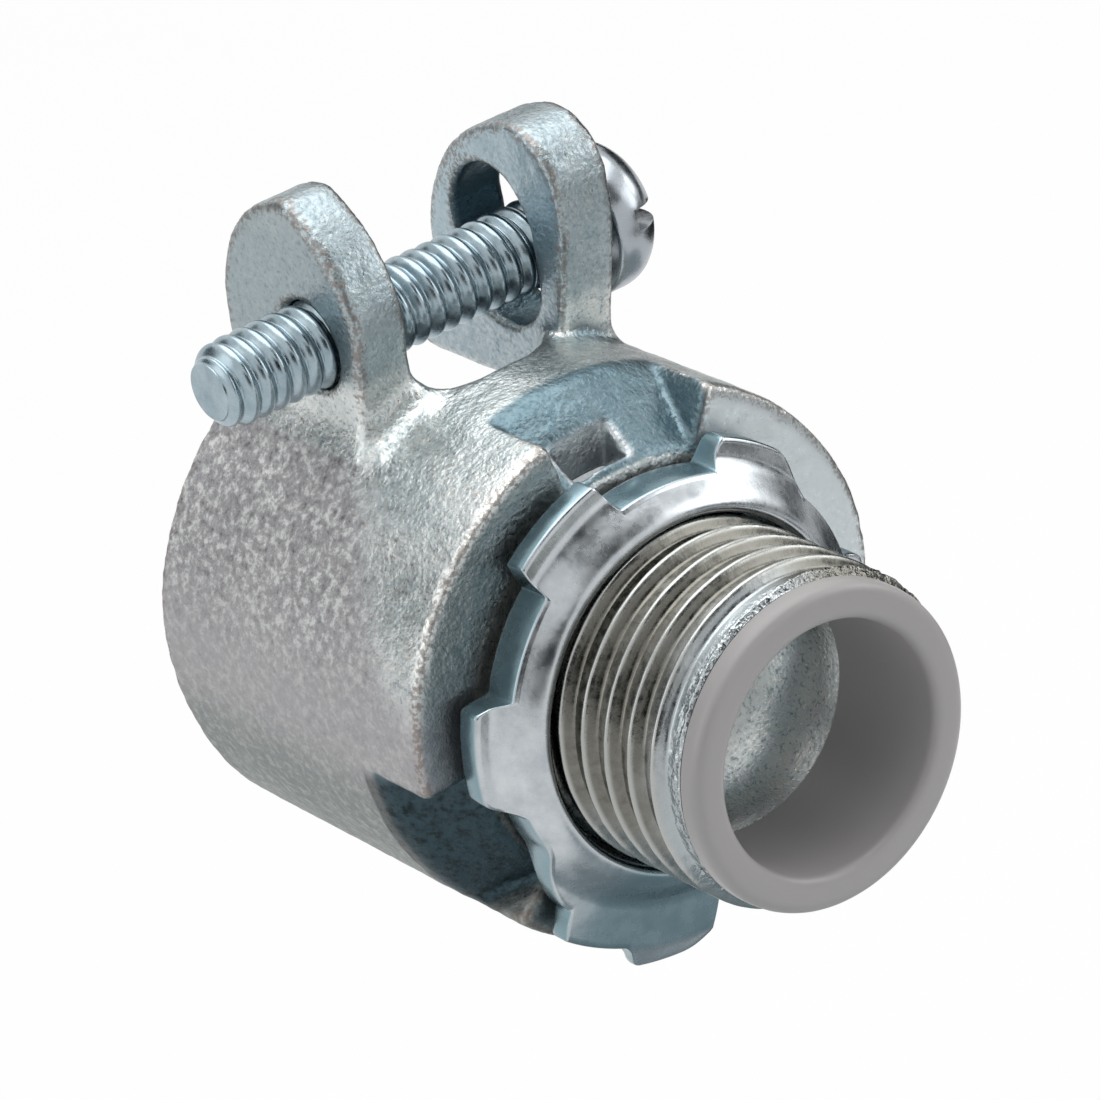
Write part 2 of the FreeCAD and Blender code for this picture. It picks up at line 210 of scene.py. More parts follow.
def tidy(mesh: Mesh) -> None:
    """Merge doubled vertices and turn the faces outward.

    Args:
        mesh: The mesh to change.
    """
    work = bmesh.new()
    work.from_mesh(mesh)
    bmesh.ops.remove_doubles(work, verts=work.verts, dist=WELD)
    bmesh.ops.recalc_face_normals(work, faces=work.faces)
    work.to_mesh(mesh)
    work.free()
    mesh.update()


def baked(piece: Piece) -> None:
    """Replace a piece's mesh by what its modifiers make of it, and take the modifiers off.

    Args:
        piece: The object with modifiers.
    """
    graph = bpy.context.evaluated_depsgraph_get()
    graph.update()
    mesh = bpy.data.meshes.new_from_object(piece.evaluated_get(graph))
    piece.modifiers.clear()
    old = piece.data
    piece.data = mesh
    bpy.data.meshes.remove(old)


def vectors(source: Any, key: str) -> Array:
    """Read three numbers from each member of a mesh's list.

    Args:
        source: The mesh's vertices or vertex normals.
        key: The numbers' name, co or vector.

    Returns:
        One row per member.
    """
    flat = np.empty(len(source) * 3, np.float32)
    source.foreach_get(key, flat)
    return flat.reshape(-1, 3).astype(float)


def put_positions(mesh: Mesh, points: Array) -> None:
    """Write a mesh's vertices.

    Args:
        mesh: The mesh to change.
        points: One row per vertex, in metres.
    """
    mesh.vertices.foreach_set("co", points.astype(np.float32).ravel())
    mesh.update()


def smoothed(mesh: Mesh, rows: Array, rounds: int) -> Array:
    """Average each vertex's row with its neighbours' over and over.

    Args:
        mesh: The mesh that gives the neighbours.
        rows: One row of values per vertex.
        rounds: How many times to average.

    Returns:
        The averaged rows.
    """
    pairs = np.empty(len(mesh.edges) * 2, np.int64)
    mesh.edges.foreach_get("vertices", pairs)
    left, right = pairs.reshape(-1, 2).T
    total = len(rows)
    count = np.bincount(pairs, minlength=total).clip(1)[:, None]
    for _ in range(rounds):
        around = [np.bincount(left, column[right], total) + np.bincount(right, column[left], total)
                  for column in rows.T]
        rows = 0.5 * rows + 0.5 * np.stack(around, 1) / count
    return rows


def put_attribute(mesh: Mesh, name: str, values: Array, soften: int = 0) -> None:
    """Store a number on every vertex for the finish to read.

    Args:
        mesh: The mesh to mark.
        name: The attribute's name.
        values: One number per vertex.
        soften: How many times to average it with its neighbours first.
    """
    if soften:
        values = smoothed(mesh, values[:, None], soften)[:, 0]
    layer = mesh.attributes.new(name, "FLOAT", "POINT")
    layer.data.foreach_set("value", values.astype(np.float32))


def rumple(points: Array, size: float, seed: float) -> Array:
    """Sample smooth noise at points.

    Args:
        points: One row per point, in metres.
        size: The noise's wavelength in millimetres.
        seed: Shifts the noise.

    Returns:
        A number from about -1 to 1 per point.
    """
    shift = Vector((seed, seed * 1.7, seed * 0.6))
    return np.array([noise.noise(Vector(p) / (size * MM) + shift) for p in points])


def bearing(points: Array) -> Array:
    """Measure angles about X.

    Args:
        points: One row per point.

    Returns:
        Degrees from +Y towards +Z, from 0 to 360.
    """
    return np.degrees(np.arctan2(points[:, 2], points[:, 1])) % 360


def turned(angle: Array, middle: float, period: float = 360.0) -> Array:
    """Measure how far angles lie from a middle that repeats.

    Args:
        angle: The angles.
        middle: Where the result is 0.
        period: The angle after which the middle comes round again.

    Returns:
        Degrees, negative before the middle.
    """
    return (angle - middle + period / 2) % period - period / 2


def ease(values: Array, low: float | Array, high: float | Array) -> Array:
    """Ease values from 0 at low to 1 at high.

    Args:
        values: The numbers to ease.
        low: Where the result is 0.
        high: Where the result is 1.

    Returns:
        Numbers from 0 to 1.
    """
    share = np.clip((values - low) / (high - low), 0.0, 1.0)
    return share * share * (3 - 2 * share)


@dataclass(frozen=True)
class Band:
    """A stretch that values ease into over one span and out of over another."""

    rise: Span
    fall: Span

    def of(self, values: Array) -> Array:
        """Tell how far values lie within the band.

        Args:
            values: The numbers to weigh.

        Returns:
            Numbers from 0 to 1.
        """
        return ease(values, *self.rise) * (1 - ease(values, *self.fall))


def lathe(name: str, outline: Sequence[Span], axis: Axis, around: int,
          centre: Span = (0.0, 0.0)) -> Piece:
    """Turn an outline about an axis.

    Args:
        name: The object's name.
        outline: Points of length along the axis and radius.
        axis: The axis to turn about.
        around: How many steps to turn in.
        centre: The axis's place across, as y and z or as x and z.

    Returns:
        The turned object.
    """
    angles = np.linspace(0, 2 * math.pi, around, endpoint=False)
    along, radius = (np.array(column)[:, None] for column in zip(*outline))
    first = radius * np.cos(angles) + centre[0]
    second = radius * np.sin(angles) + centre[1]
    level = np.repeat(along, around, 1)
    stack = (level, first, second) if axis is Axis.X else (first, level, second)
    faces = []
    for a in range(0, (len(outline) - 1) * around, around):
        b = a + around
        faces += [(a + j, a + (j + 1) % around, b + (j + 1) % around, b + j)
                  for j in range(around)]
    mesh = mesh_from(name, np.stack(stack, -1).reshape(-1, 3), faces)
    tidy(mesh)
    return new_object(name, mesh)


def rounded_profile(points: Sequence[Place], steps: int = 6) -> list[Span]:
    """Round the corners of an open outline.

    Args:
        points: Two coordinates and a corner radius each.
        steps: Points on each rounded corner.

    Returns:
        The outline's points.
    """
    result: list[Span] = [points[0][:2]]
    for before, here, after in zip(points, points[1:], points[2:]):
        corner = Vector(here[:2])
        into = (Vector(before[:2]) - corner).normalized()
        onward = (Vector(after[:2]) - corner).normalized()
        reach = here[2] / max(math.tan(into.angle(onward) / 2), 1e-6)
        start, end = corner + into * reach, corner + onward * reach
        for k in range(steps + 1):
            t = k / steps
            spot = start * (1 - t) ** 2 + corner * 2 * t * (1 - t) + end * t ** 2
            result.append((spot.x, spot.y))
    result.append(points[-1][:2])
    return result


def ramp(tree: Tree, fac: Socket, span: Span, first: str, last: str) -> Socket:
    """Map a number to a blend of two colours.

    Args:
        tree: The material's node tree.
        fac: The number.
        span: Where the blend starts and ends.
        first: The colour before it.
        last: The colour after it.

    Returns:
        The blended colour.
    """
    node = add_node(tree, "ShaderNodeValToRGB", {"Fac": fac})
    for element, spot, code in zip(node.color_ramp.elements, span, (first, last)):
        element.position = spot
        element.color = to_linear(code)
    return node.outputs["Color"]


def grain(tree: Tree, place: Socket, size: float, detail: float, rough: float) -> Socket:
    """Add fractal noise.

    Args:
        tree: The material's node tree.
        place: The coordinates.
        size: The noise's wavelength in millimetres.
        detail: How many finer octaves to add.
        rough: How strong the finer octaves are.

    Returns:
        The noise, from 0 to 1.
    """
    return add_node(tree, "ShaderNodeTexNoise", {
        "Vector": place, "Scale": 1 / (size * MM), "Detail": detail,
        "Roughness": rough}).outputs["Fac"]


def mixed(tree: Tree, share: Socket, first: Socket, code: str) -> Socket:
    """Lay a colour over another.

    Args:
        tree: The material's node tree.
        share: How much of the new colour shows.
        first: The colour below.
        code: The new colour.

    Returns:
        The mixed colour.
    """
    return add_node(tree, "ShaderNodeMix", {0: share, 6: first, 7: to_linear(code)},
                    data_type="RGBA").outputs[2]


def rescaled(tree: Tree, value: Socket, span: tuple[Any, Any], to: tuple[Any, Any]) -> Socket:
    """Ease a number from one span to another.

    Args:
        tree: The node tree.
        value: The number.
        span: Where it runs from and to, as numbers or sockets.
        to: What those become.

    Returns:
        The mapped number, held within the new span.
    """
    return add_node(tree, "ShaderNodeMapRange", {
        "Value": value, "From Min": span[0], "From Max": span[1],
        "To Min": to[0], "To Max": to[1]}, interpolation_type="SMOOTHSTEP").outputs["Result"]


def bumped(tree: Tree, height: Socket, depth: float, strength: Socket | float = 1.0,
           inputs: dict[str, Socket] | None = None, invert: bool = False) -> Socket:
    """Roughen the shading normal.

    Args:
        tree: The material's node tree.
        height: The relief, from 0 to 1.
        depth: The relief's height in millimetres.
        strength: How much of it shows.
        inputs: The normal to start from, if it isn't the mesh's own.
        invert: Whether the relief is turned inside out.

    Returns:
        The new normal.
    """
    return add_node(tree, "ShaderNodeBump", {
        "Strength": strength, "Distance": depth * MM, "Height": height, **(inputs or {})},
        invert=invert).outputs["Normal"]


@dataclass(frozen=True)
class Finish:
    """A material with a plain name."""

    name: str

    def start(self) -> tuple[Tree, Node, Socket]:
        """Begin the material.

        Returns:
            Its node tree, its surface node and the Object coordinates.
        """
        material = bpy.data.materials.new(self.name)
        material.use_nodes = True
        tree = material.node_tree
        place = add_node(tree, "ShaderNodeTexCoord").outputs["Object"]
        return tree, tree.nodes["Principled BSDF"], place

    @staticmethod
    def read(tree: Tree, name: str) -> Socket:
        """Read a number that the piece carries on its vertices.

        Args:
            tree: The material's node tree.
            name: The attribute's name.

        Returns:
            The number.
        """
        return add_node(tree, "ShaderNodeAttribute", attribute_name=name).outputs["Fac"]


@dataclass(frozen=True)
class CastZinc(Finish):
    """Sand-cast iron under bright zinc: pebbled and glinting, with painted glints, painted shade in
    its hollows, and worn edges.
    """

    pale: str = "#d8dcdb"
    deep: str = "#bfc7c7"
    warm: str = "#d3c9bb"
    worn: str = "#83746a"
    # hollow: colour of random dark specks, and of painted shade in creases, recesses and slots
    hollow: str = "#41606c"
    # under: painted shade on the barrel's underside
    under: str = "#757e7b"
    # colour of the painted shade in the bottom pocket
    pocket_shade: str = "#1b2224"
    # matte: the calmer skin's tone, darkened as painted shade on the barrel's left side and
    # underside
    matte: str = "#a09da0"
    # lug: the ears' bluish tone, and painted shade on the far ear's lower inner face
    lug: str = "#7e9098"
    # painted light on the far ear's broad faces
    far_ear_light: str = "#b3c7d1"
    raw: str = "#b2b8bb"
    # painted light on the shoulder's front face
    lit_front_face: str = "#d2dadd"
    # painted dark reflections and painted glints, flecked over the mottled skin
    dark_fleck: str = "#6c686c"
    glint: str = "#e6e8e6"
    pebble_mm: float = 0.34
    pebble_height: float = 0.040
    pebble_blur: float = 0.6
    mottle_mm: float = 0.6
    grain_mm: float = 0.16
    grain_height: float = 0.032
    patch_mm: float = 3.6
    patch_span: Span = (0.36, 0.64)
    dark_speck: Span = (0.54, 0.70)
    warm_speck: Span = (0.44, 0.30)
    dark_mottle: Span = (0.54, 0.70)
    light_mottle: Span = (0.54, 0.36)
    roughness: Span = (0.27, 0.46)
    calm_roughness: float = 0.52

    def build(self) -> Material:
        """Make the material.

        Returns:
            The finished material.
        """
        tree, surface, place = self.start()
        speck = grain(tree, place, self.pebble_mm, 2.0, 0.65)
        mottle = grain(tree, place, self.mottle_mm, 5.0, 0.72)
        calm, spread = self.read(tree, "calm"), self.read(tree, "mottled")
        dark, light = (maths(tree, "MULTIPLY", spread, rescaled(tree, mottle, span, (0.0, 0.9)))
                       for span in (self.dark_mottle, self.light_mottle))
        rub = maths(tree, "MULTIPLY", self.read(tree, "edge_wear"),
                    rescaled(tree, speck, (0.35, 0.60), (0.25, 1.5)))
        # painted shade in the bottom pocket, broken up by the mottle
        shaded_pocket = maths(tree, "MULTIPLY", self.read(tree, "pocket_shade"),
                     rescaled(tree, mottle, (0.30, 0.60), (1.0, 0.55)))
        tone = ramp(tree, grain(tree, place, self.patch_mm, 3.0, 0.6), self.patch_span,
                    self.deep, self.pale)
        for share, code in (
                (rescaled(tree, speck, self.dark_speck, (0.0, 0.5)), self.hollow),
                (rescaled(tree, speck, self.warm_speck, (0.0, 0.6)), self.warm),
                # the calmer skin's tone, with painted shade on that side
                (rescaled(tree, calm, FULL, (0.0, 0.85)), self.matte),
                # painted shade, darker towards the underside
                (rescaled(tree, self.read(tree, "under"), FULL, (0.0, 0.75)), self.under),
                (rescaled(tree, self.read(tree, "lug"), FULL, (0.0, 0.7)), self.lug),
                (self.read(tree, "far_ear_light"), self.far_ear_light),
                # painted flecks of dark reflection and of glint
                (dark, self.dark_fleck),
                (light, self.glint),
                (self.read(tree, "lit_front_face"), self.lit_front_face),
                (rescaled(tree, rub, (0.55, 1.15), (0.0, 0.6)), self.worn),
                # painted shade: the hollow colour over creases, the recesses' floors and walls, the
                # shoulder face left of the nut and the ear slot's wall
                (rescaled(tree, self.read(tree, "recess_shade"), (0.1, 0.9), (0.0, 0.85)), self.hollow),
                (shaded_pocket, self.pocket_shade),
                (self.read(tree, "raw"), self.raw)):
            tone = mixed(tree, share, tone, code)
        pebbles = add_node(tree, "ShaderNodeTexVoronoi", {
            "Vector": place, "Scale": 1 / (self.pebble_mm * MM), "Smoothness": self.pebble_blur},
            feature="SMOOTH_F1").outputs["Distance"]
        coarse = bumped(tree, pebbles, self.pebble_height, self.read(tree, "pebbled"), invert=True)
        fine = bumped(tree, grain(tree, place, self.grain_mm, 2.0, 0.6), self.grain_height,
                      self.read(tree, "grained"), {"Normal": coarse})
        gloss = rescaled(tree, speck, (0.3, 0.7), self.roughness)
        dull = add_node(tree, "ShaderNodeMix", {0: calm, 2: gloss, 3: self.calm_roughness})
        fill(tree, surface, {"Metallic": 1.0, "Base Color": tone, "Roughness": dull.outputs[0],
                             "Normal": fine})
        return bpy.data.materials[self.name]


@dataclass(frozen=True)
class PlatedSteel(Finish):
    """Stamped or rolled steel under bright zinc plate: smooth, reflective and faintly clouded."""

    pale: str = "#c8cfd1"
    deep: str = "#b0b8bb"
    # the cut edges' colour, also painted shade on the locknut's lower part and on the screw head
    sheared_and_shade: str = "#829aa2"
    clean_and_sheen: str = "#c6cdd0"
    # crest: worn plate on the thread's crests, paler also as a painted highlight
    crest: str = "#d2d6d6"
    crest_span: Span = (1.0, 2.0)
    crest_share: float = 0.85
    cloud_mm: float = 1.6
    wave_mm: float = 2.2
    bump_mm: float = 0.05
    torn_mm: float = 0.22
    torn_height: float = 0.10
    roughness: Span = (0.19, 0.28)

    def build(self) -> Material:
        """Make the material.

        Returns:
            The finished material.
        """
        tree, surface, place = self.start()
        cloud = grain(tree, place, self.cloud_mm, 4.0, 0.6)
        across = add_node(tree, "ShaderNodeVectorMath", {0: place, 1: (0.0, 1.0, 1.0)},
                          operation="MULTIPLY").outputs[0]
        reach = add_node(tree, "ShaderNodeVectorMath", {0: across},
                         operation="LENGTH").outputs["Value"]
        tone = ramp(tree, cloud, (0.30, 0.70), self.deep, self.pale)
        for share, code in (
                (self.read(tree, "sheared_and_shade"), self.sheared_and_shade),
                # zinc free of the film, and painted sheen
                (self.read(tree, "clean_and_sheen"), self.clean_and_sheen),
                # the crests, paler as worn plate and as a painted highlight
                (rescaled(tree, reach, self.crest_span, (0.0, self.crest_share)), self.crest)):
            tone = mixed(tree, share, tone, code)
        waved = bumped(tree, grain(tree, place, self.wave_mm, 3.0, 0.55), self.bump_mm)
        torn = bumped(tree, grain(tree, place, self.torn_mm, 1.0, 0.5), self.torn_height,
                      self.read(tree, "torn"), {"Normal": waved})
        fill(tree, surface, {"Metallic": 1.0, "Base Color": tone, "Normal": torn,
                             "Roughness": rescaled(tree, cloud, (0.3, 0.7), self.roughness)})
        return bpy.data.materials[self.name]


@dataclass(frozen=True)
class MouldedPlastic(Finish):
    """Injection-moulded thermoplastic: one colour, satin, with a faint ripple of the mould."""

    colour: str = "#aaa6a5"
    ripple_mm: float = 1.2
    bump_mm: float = 0.006
    roughness: float = 0.36

    def build(self) -> Material:
        """Make the material.

        Returns:
            The finished material.
        """
        tree, surface, place = self.start()
        ripple = bumped(tree, grain(tree, place, self.ripple_mm, 3.0, 0.6), self.bump_mm)
        fill(tree, surface, {"Base Color": to_linear(self.colour), "Roughness": self.roughness,
                             "Normal": ripple})
        return bpy.data.materials[self.name]


@dataclass
class Thread:
    """A right-handed screw thread, made by a node tree as a tube whose radius follows a helix.

    Land and root are the shares of the pitch that stay flat at the crest and in the groove. A root
    of -1 stops the flank half way down: the crest is round, the groove sharp and half as deep.
    """

    name: str
    axis: Axis
    crest: float
    depth: float
    pitch: float
    start: float
    length: float
    tip_start: float
    tip_end: float
    land: float
    root: float
    around: int
    centre: Span = (0.0, 0.0)
    per_pitch: int = 18
    phase: float = 0.0
    tip_drop: float = 0.0
    tip_slope: float = 0.35
    tip_ease: float = 0.45
    lengths: tuple[str, ...] = ("Crest", "Depth", "Pitch", "Length", "Tip Start", "Tip End",
                                "Tip Drop", "Tip Ease")
    shares: tuple[str, ...] = ("Tip Slope", "Land", "Root", "Phase")

    def tree(self) -> bpy.types.GeometryNodeTree:
        """Build the node tree, or find it if an earlier thread built it.

        Returns:
            The shared tree, with its sizes as named inputs.
        """
        known = bpy.data.node_groups.get("helical_thread")
        if known is not None:
            return known
        tree = bpy.data.node_groups.new("helical_thread", "GeometryNodeTree")
        for kind, names in (("Geometry", ("Geometry",)), ("Float", self.lengths + self.shares),
                            ("Int", ("Rings", "Around")), ("Material", ("Finish",))):
            for name in names:
                tree.interface.new_socket(name, in_out="INPUT", socket_type=f"NodeSocket{kind}")
        tree.interface.new_socket("Geometry", in_out="OUTPUT", socket_type="NodeSocketGeometry")
        given = add_node(tree, "NodeGroupInput").outputs
        grid = add_node(tree, "GeometryNodeMeshGrid", {
            "Size X": 1.0, "Size Y": 1.0, "Vertices X": given["Rings"],
            "Vertices Y": given["Around"]})
        spot = add_node(tree, "GeometryNodeInputPosition").outputs[0]
        split = add_node(tree, "ShaderNodeSeparateXYZ", {0: spot}).outputs
        along = maths(tree, "MULTIPLY", maths(tree, "ADD", split["X"], 0.5), given["Length"])
        turn = maths(tree, "ADD", split["Y"], 0.5)
        angle = maths(tree, "MULTIPLY", turn, 2 * math.pi)
        helix = maths(tree, "SUBTRACT", maths(tree, "DIVIDE", along, given["Pitch"]),
                      maths(tree, "SUBTRACT", turn, given["Phase"]))
        wave = maths(tree, "MULTIPLY", maths(tree, "PINGPONG", helix, 0.5), 2.0)
        groove = maths(tree, "SUBTRACT", 1.0, given["Root"])
        fall = rescaled(tree, wave, (given["Land"], groove), (0.0, given["Depth"]))
        drop = maths(tree, "SUBTRACT", given["Tip Drop"],
                     maths(tree, "MULTIPLY", along, given["Tip Slope"]))
        radius = maths(tree, "SUBTRACT", maths(tree, "SUBTRACT", given["Crest"], fall),
                       maths(tree, "MAXIMUM", drop, 0.0))
        radius = rescaled(tree, along, (0.0, given["Tip Ease"]), (given["Tip Start"], radius))
        left = maths(tree, "SUBTRACT", given["Length"], along)
        radius = maths(tree, "MINIMUM", radius, maths(tree, "ADD", given["Tip End"], left))
        place = add_node(tree, "ShaderNodeCombineXYZ", {
            "X": along,
            "Y": maths(tree, "MULTIPLY", radius, maths(tree, "COSINE", angle)),
            "Z": maths(tree, "MULTIPLY", radius, maths(tree, "SINE", angle))})
        shape = grid.outputs["Mesh"]
        for kind, inputs in (("SetPosition", {"Position": place.outputs[0]}),
                             ("MergeByDistance", {"Distance": 1e-6}),
                             ("SetShadeSmooth", {}),
                             ("RealizeInstances", {}),
                             ("SetMaterial", {"Material": given["Finish"]})):
            shape = add_node(tree, f"GeometryNode{kind}", {"Geometry": shape, **inputs}).outputs[0]
        add_node(tree, "NodeGroupOutput", {"Geometry": shape})
        return tree

    def build(self, finish: Material) -> Piece:
        """Make the thread's surface.

        Args:
            finish: The material it gets.

        Returns:
            An object with the thread's mesh in the row frame.
        """
        piece = new_object(self.name, bpy.data.meshes.new(self.name))
        modifier = piece.modifiers.new("thread", "NODES")
        tree = self.tree()
        modifier.node_group = tree
        values: dict[str, Any] = {
            "Rings": int(self.length / self.pitch * self.per_pitch) + 1,
            "Around": self.around + 1, "Finish": finish}
        for names, unit in ((self.lengths, MM), (self.shares, 1.0)):
            values |= {name: getattr(self, name.lower().replace(" ", "_")) * unit
                       for name in names}
        for item in tree.interface.items_tree:
            if item.in_out == "INPUT" and item.name in values:
                modifier[item.identifier] = values[item.name]
        baked(piece)
        across, upward = self.centre
        if self.axis is Axis.X:
            place = Matrix.Translation(Vector((self.start, across, upward)) * MM)
        else:
            turn = Matrix(((0, 0, 1, 0), (1, 0, 0, 0), (0, 1, 0, 0), (0, 0, 0, 1)))
            place = Matrix.Translation(Vector((across, self.start, upward)) * MM) @ turn
        piece.data.transform(place)
        tidy(piece.data)
        return piece


def joined(pieces: Sequence[Piece], name: str) -> Piece:
    """Join objects into one piece.

    Args:
        pieces: The objects, the first of which stays.
        name: The piece's name.

    Returns:
        The joined object.
    """
    first, every = pieces[0], list(pieces)
    with bpy.context.temp_override(active_object=first, object=first, selected_objects=every,
                                   selected_editable_objects=every):
        bpy.ops.object.join()
    first.name = name
    first.data.name = name
    return first


def dressed(piece: Piece, finish: Material, body: Body, slot: Slot,
            *nodes: str) -> Piece:
    """Give a piece its material and its place in the frame.

    Args:
        piece: The piece.
        finish: Its material.
        body: The body that it rides.
        slot: The record's slot for its finish; not used.
        nodes: CAD nodes that it stands for.

    Returns:
        The same piece.
    """
    piece.data.materials.clear()
    piece.data.materials.append(finish)
    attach(piece, body.value)
    if nodes:
        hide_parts(*nodes)
    LOG.info("%s: %d faces on %s", piece.name, len(piece.data.polygons), body.value)
    return piece


def rounded_meet(first: Array, second: Array, radius: float) -> Array:
    """Keep what two shapes share, with a round edge where they meet.

    Args:
        first: Distances to the first shape.
        second: Distances to the second shape.
        radius: The edge's radius.

    Returns:
        Distances to the shared shape.
    """
    a, b = first + radius, second + radius
    return np.minimum(np.maximum(a, b), 0) + np.hypot(np.maximum(a, 0), np.maximum(b, 0)) - radius


def blended(first: Array, second: Array, radius: float) -> Array:
    """Join two shapes with a round fillet.

    Args:
        first: Distances to the first shape.
        second: Distances to the second shape.
        radius: The fillet's radius.

    Returns:
        Distances to the joined shape.
    """
    u, v = np.maximum(radius - first, 0), np.maximum(radius - second, 0)
    return np.maximum(np.minimum(first, second), radius) - np.hypot(u, v)


def carved(first: Array, second: Array, radius: float) -> Array:
    """Cut one shape out of another and round the edges that the cut leaves.

    Args:
        first: Distances to the shape that stays.
        second: Distances to the shape that is cut out.
        radius: The edges' radius.

    Returns:
        Distances to what is left.
    """
    return -blended(-first, second, radius)


def polygon_distance(ring: Array, across: Array, upward: Array) -> Array:
    """Measure signed distances to a closed outline over a flat grid.

    Args:
        ring: The outline's points.
        across: Grid places along the first axis.
        upward: Grid places along the second axis.

    Returns:
        Distances, negative inside.
    """
    a, b = np.meshgrid(across, upward, indexing="ij")
    best = np.full(a.shape, np.inf)
    inside = np.zeros(a.shape, bool)
    for (p, q), (u, v) in zip(ring, np.roll(ring, -1, 0)):
        du, dv = u - p, v - q
        length = du * du + dv * dv
        if length < TINY:
            continue
        share = np.clip(((a - p) * du + (b - q) * dv) / length, 0, 1)
        best = np.minimum(best, np.hypot(a - p - share * du, b - q - share * dv))
        if abs(dv) > TINY:
            inside ^= ((q > b) != (v > b)) & (a < p + (b - q) * du / dv)
    return np.where(inside, -best, best)


def surface_net(values: Array, origin: Array, step: float
                ) -> tuple[Array, list[list[int]]]:
    """Mesh the surface where a grid of distances crosses zero.

    Args:
        values: Distances on the grid, negative inside.
        origin: The grid's first corner.
        step: The grid's spacing.

    Returns:
        The vertices and the four-sided faces.
    """
    spots, corners, owners = [], [], []
    unit = np.eye(3, dtype=int)
    for axis in range(3):
        low = np.moveaxis(values, axis, 0)[:-1]
        high = np.moveaxis(values, axis, 0)[1:]
        crossing = np.argwhere((low < 0) != (high < 0))
        before, after = low[tuple(crossing.T)], high[tuple(crossing.T)]
        cell = np.insert(np.delete(crossing, 0, 1), axis, crossing[:, 0], 1)
        spot = cell.astype(float)
        spot[:, axis] += before / (before - after)
        second, third = unit[(axis + 1) % 3], unit[(axis + 2) % 3]
        around = [cell, cell - second, cell - second - third, cell - third]
        numbers = np.stack([np.ravel_multi_index(tuple(c.T), values.shape) for c in around], 1)
        numbers[before >= 0] = numbers[before >= 0][:, ::-1]
        corners.append(numbers)
        spots.append(np.repeat(spot, 4, 0))
        owners.append(numbers.ravel())
    place = np.concatenate(spots)
    used, index = np.unique(np.concatenate(owners), return_inverse=True)
    total = np.stack([np.bincount(index, place[:, k]) for k in range(3)], 1)
    faces = np.searchsorted(used, np.concatenate(corners))
    return total / np.bincount(index)[:, None] * step + origin, faces.tolist()


@dataclass(frozen=True)
class Ear:
    """One clamp ear: its flat faces, and an outline along X and up whose stretches may bulge."""

    near_y: float
    far_y: float
    blend: float
    outline: tuple[Place, ...]
    edge: float = 0.36
    spacing: float = 0.25
    softness: int = 8

    def ring(self) -> Array:
        """Draw the outline, with its corners softened.

        Returns:
            Evenly spaced points of length along X and height.
        """
        points: list[Span] = []
        for (x0, z0, bulge), (x1, z1, _) in zip(self.outline, self.outline[1:] + self.outline[:1]):
            dx, dz = x1 - x0, z1 - z0
            length = math.hypot(dx, dz)
            for share in np.arange(0, 1, self.spacing / length):
                lift = 4 * bulge * share * (1 - share) / length
                points.append((x0 + dx * share + dz * lift, z0 + dz * share - dx * lift))
        ring = np.array(points)
        for _ in range(self.softness):
            ring = (np.roll(ring, 1, 0) + 2 * ring + np.roll(ring, -1, 0)) / 4
        return ring

    def distance(self, x: Array, y: Array, z: Array) -> Array:
        """Measure how far points lie outside the ear.

        Args:
            x: Grid places along X.
            y: Grid places along Y.
            z: Grid places along Z.

        Returns:
            Distances over the whole grid, negative inside.
        """
        within = polygon_distance(self.ring(), x, z)[:, None, :]
        across = np.abs(y - (self.near_y + self.far_y) / 2) - (self.far_y - self.near_y) / 2
        return rounded_meet(within, across[None, :, None], self.edge)


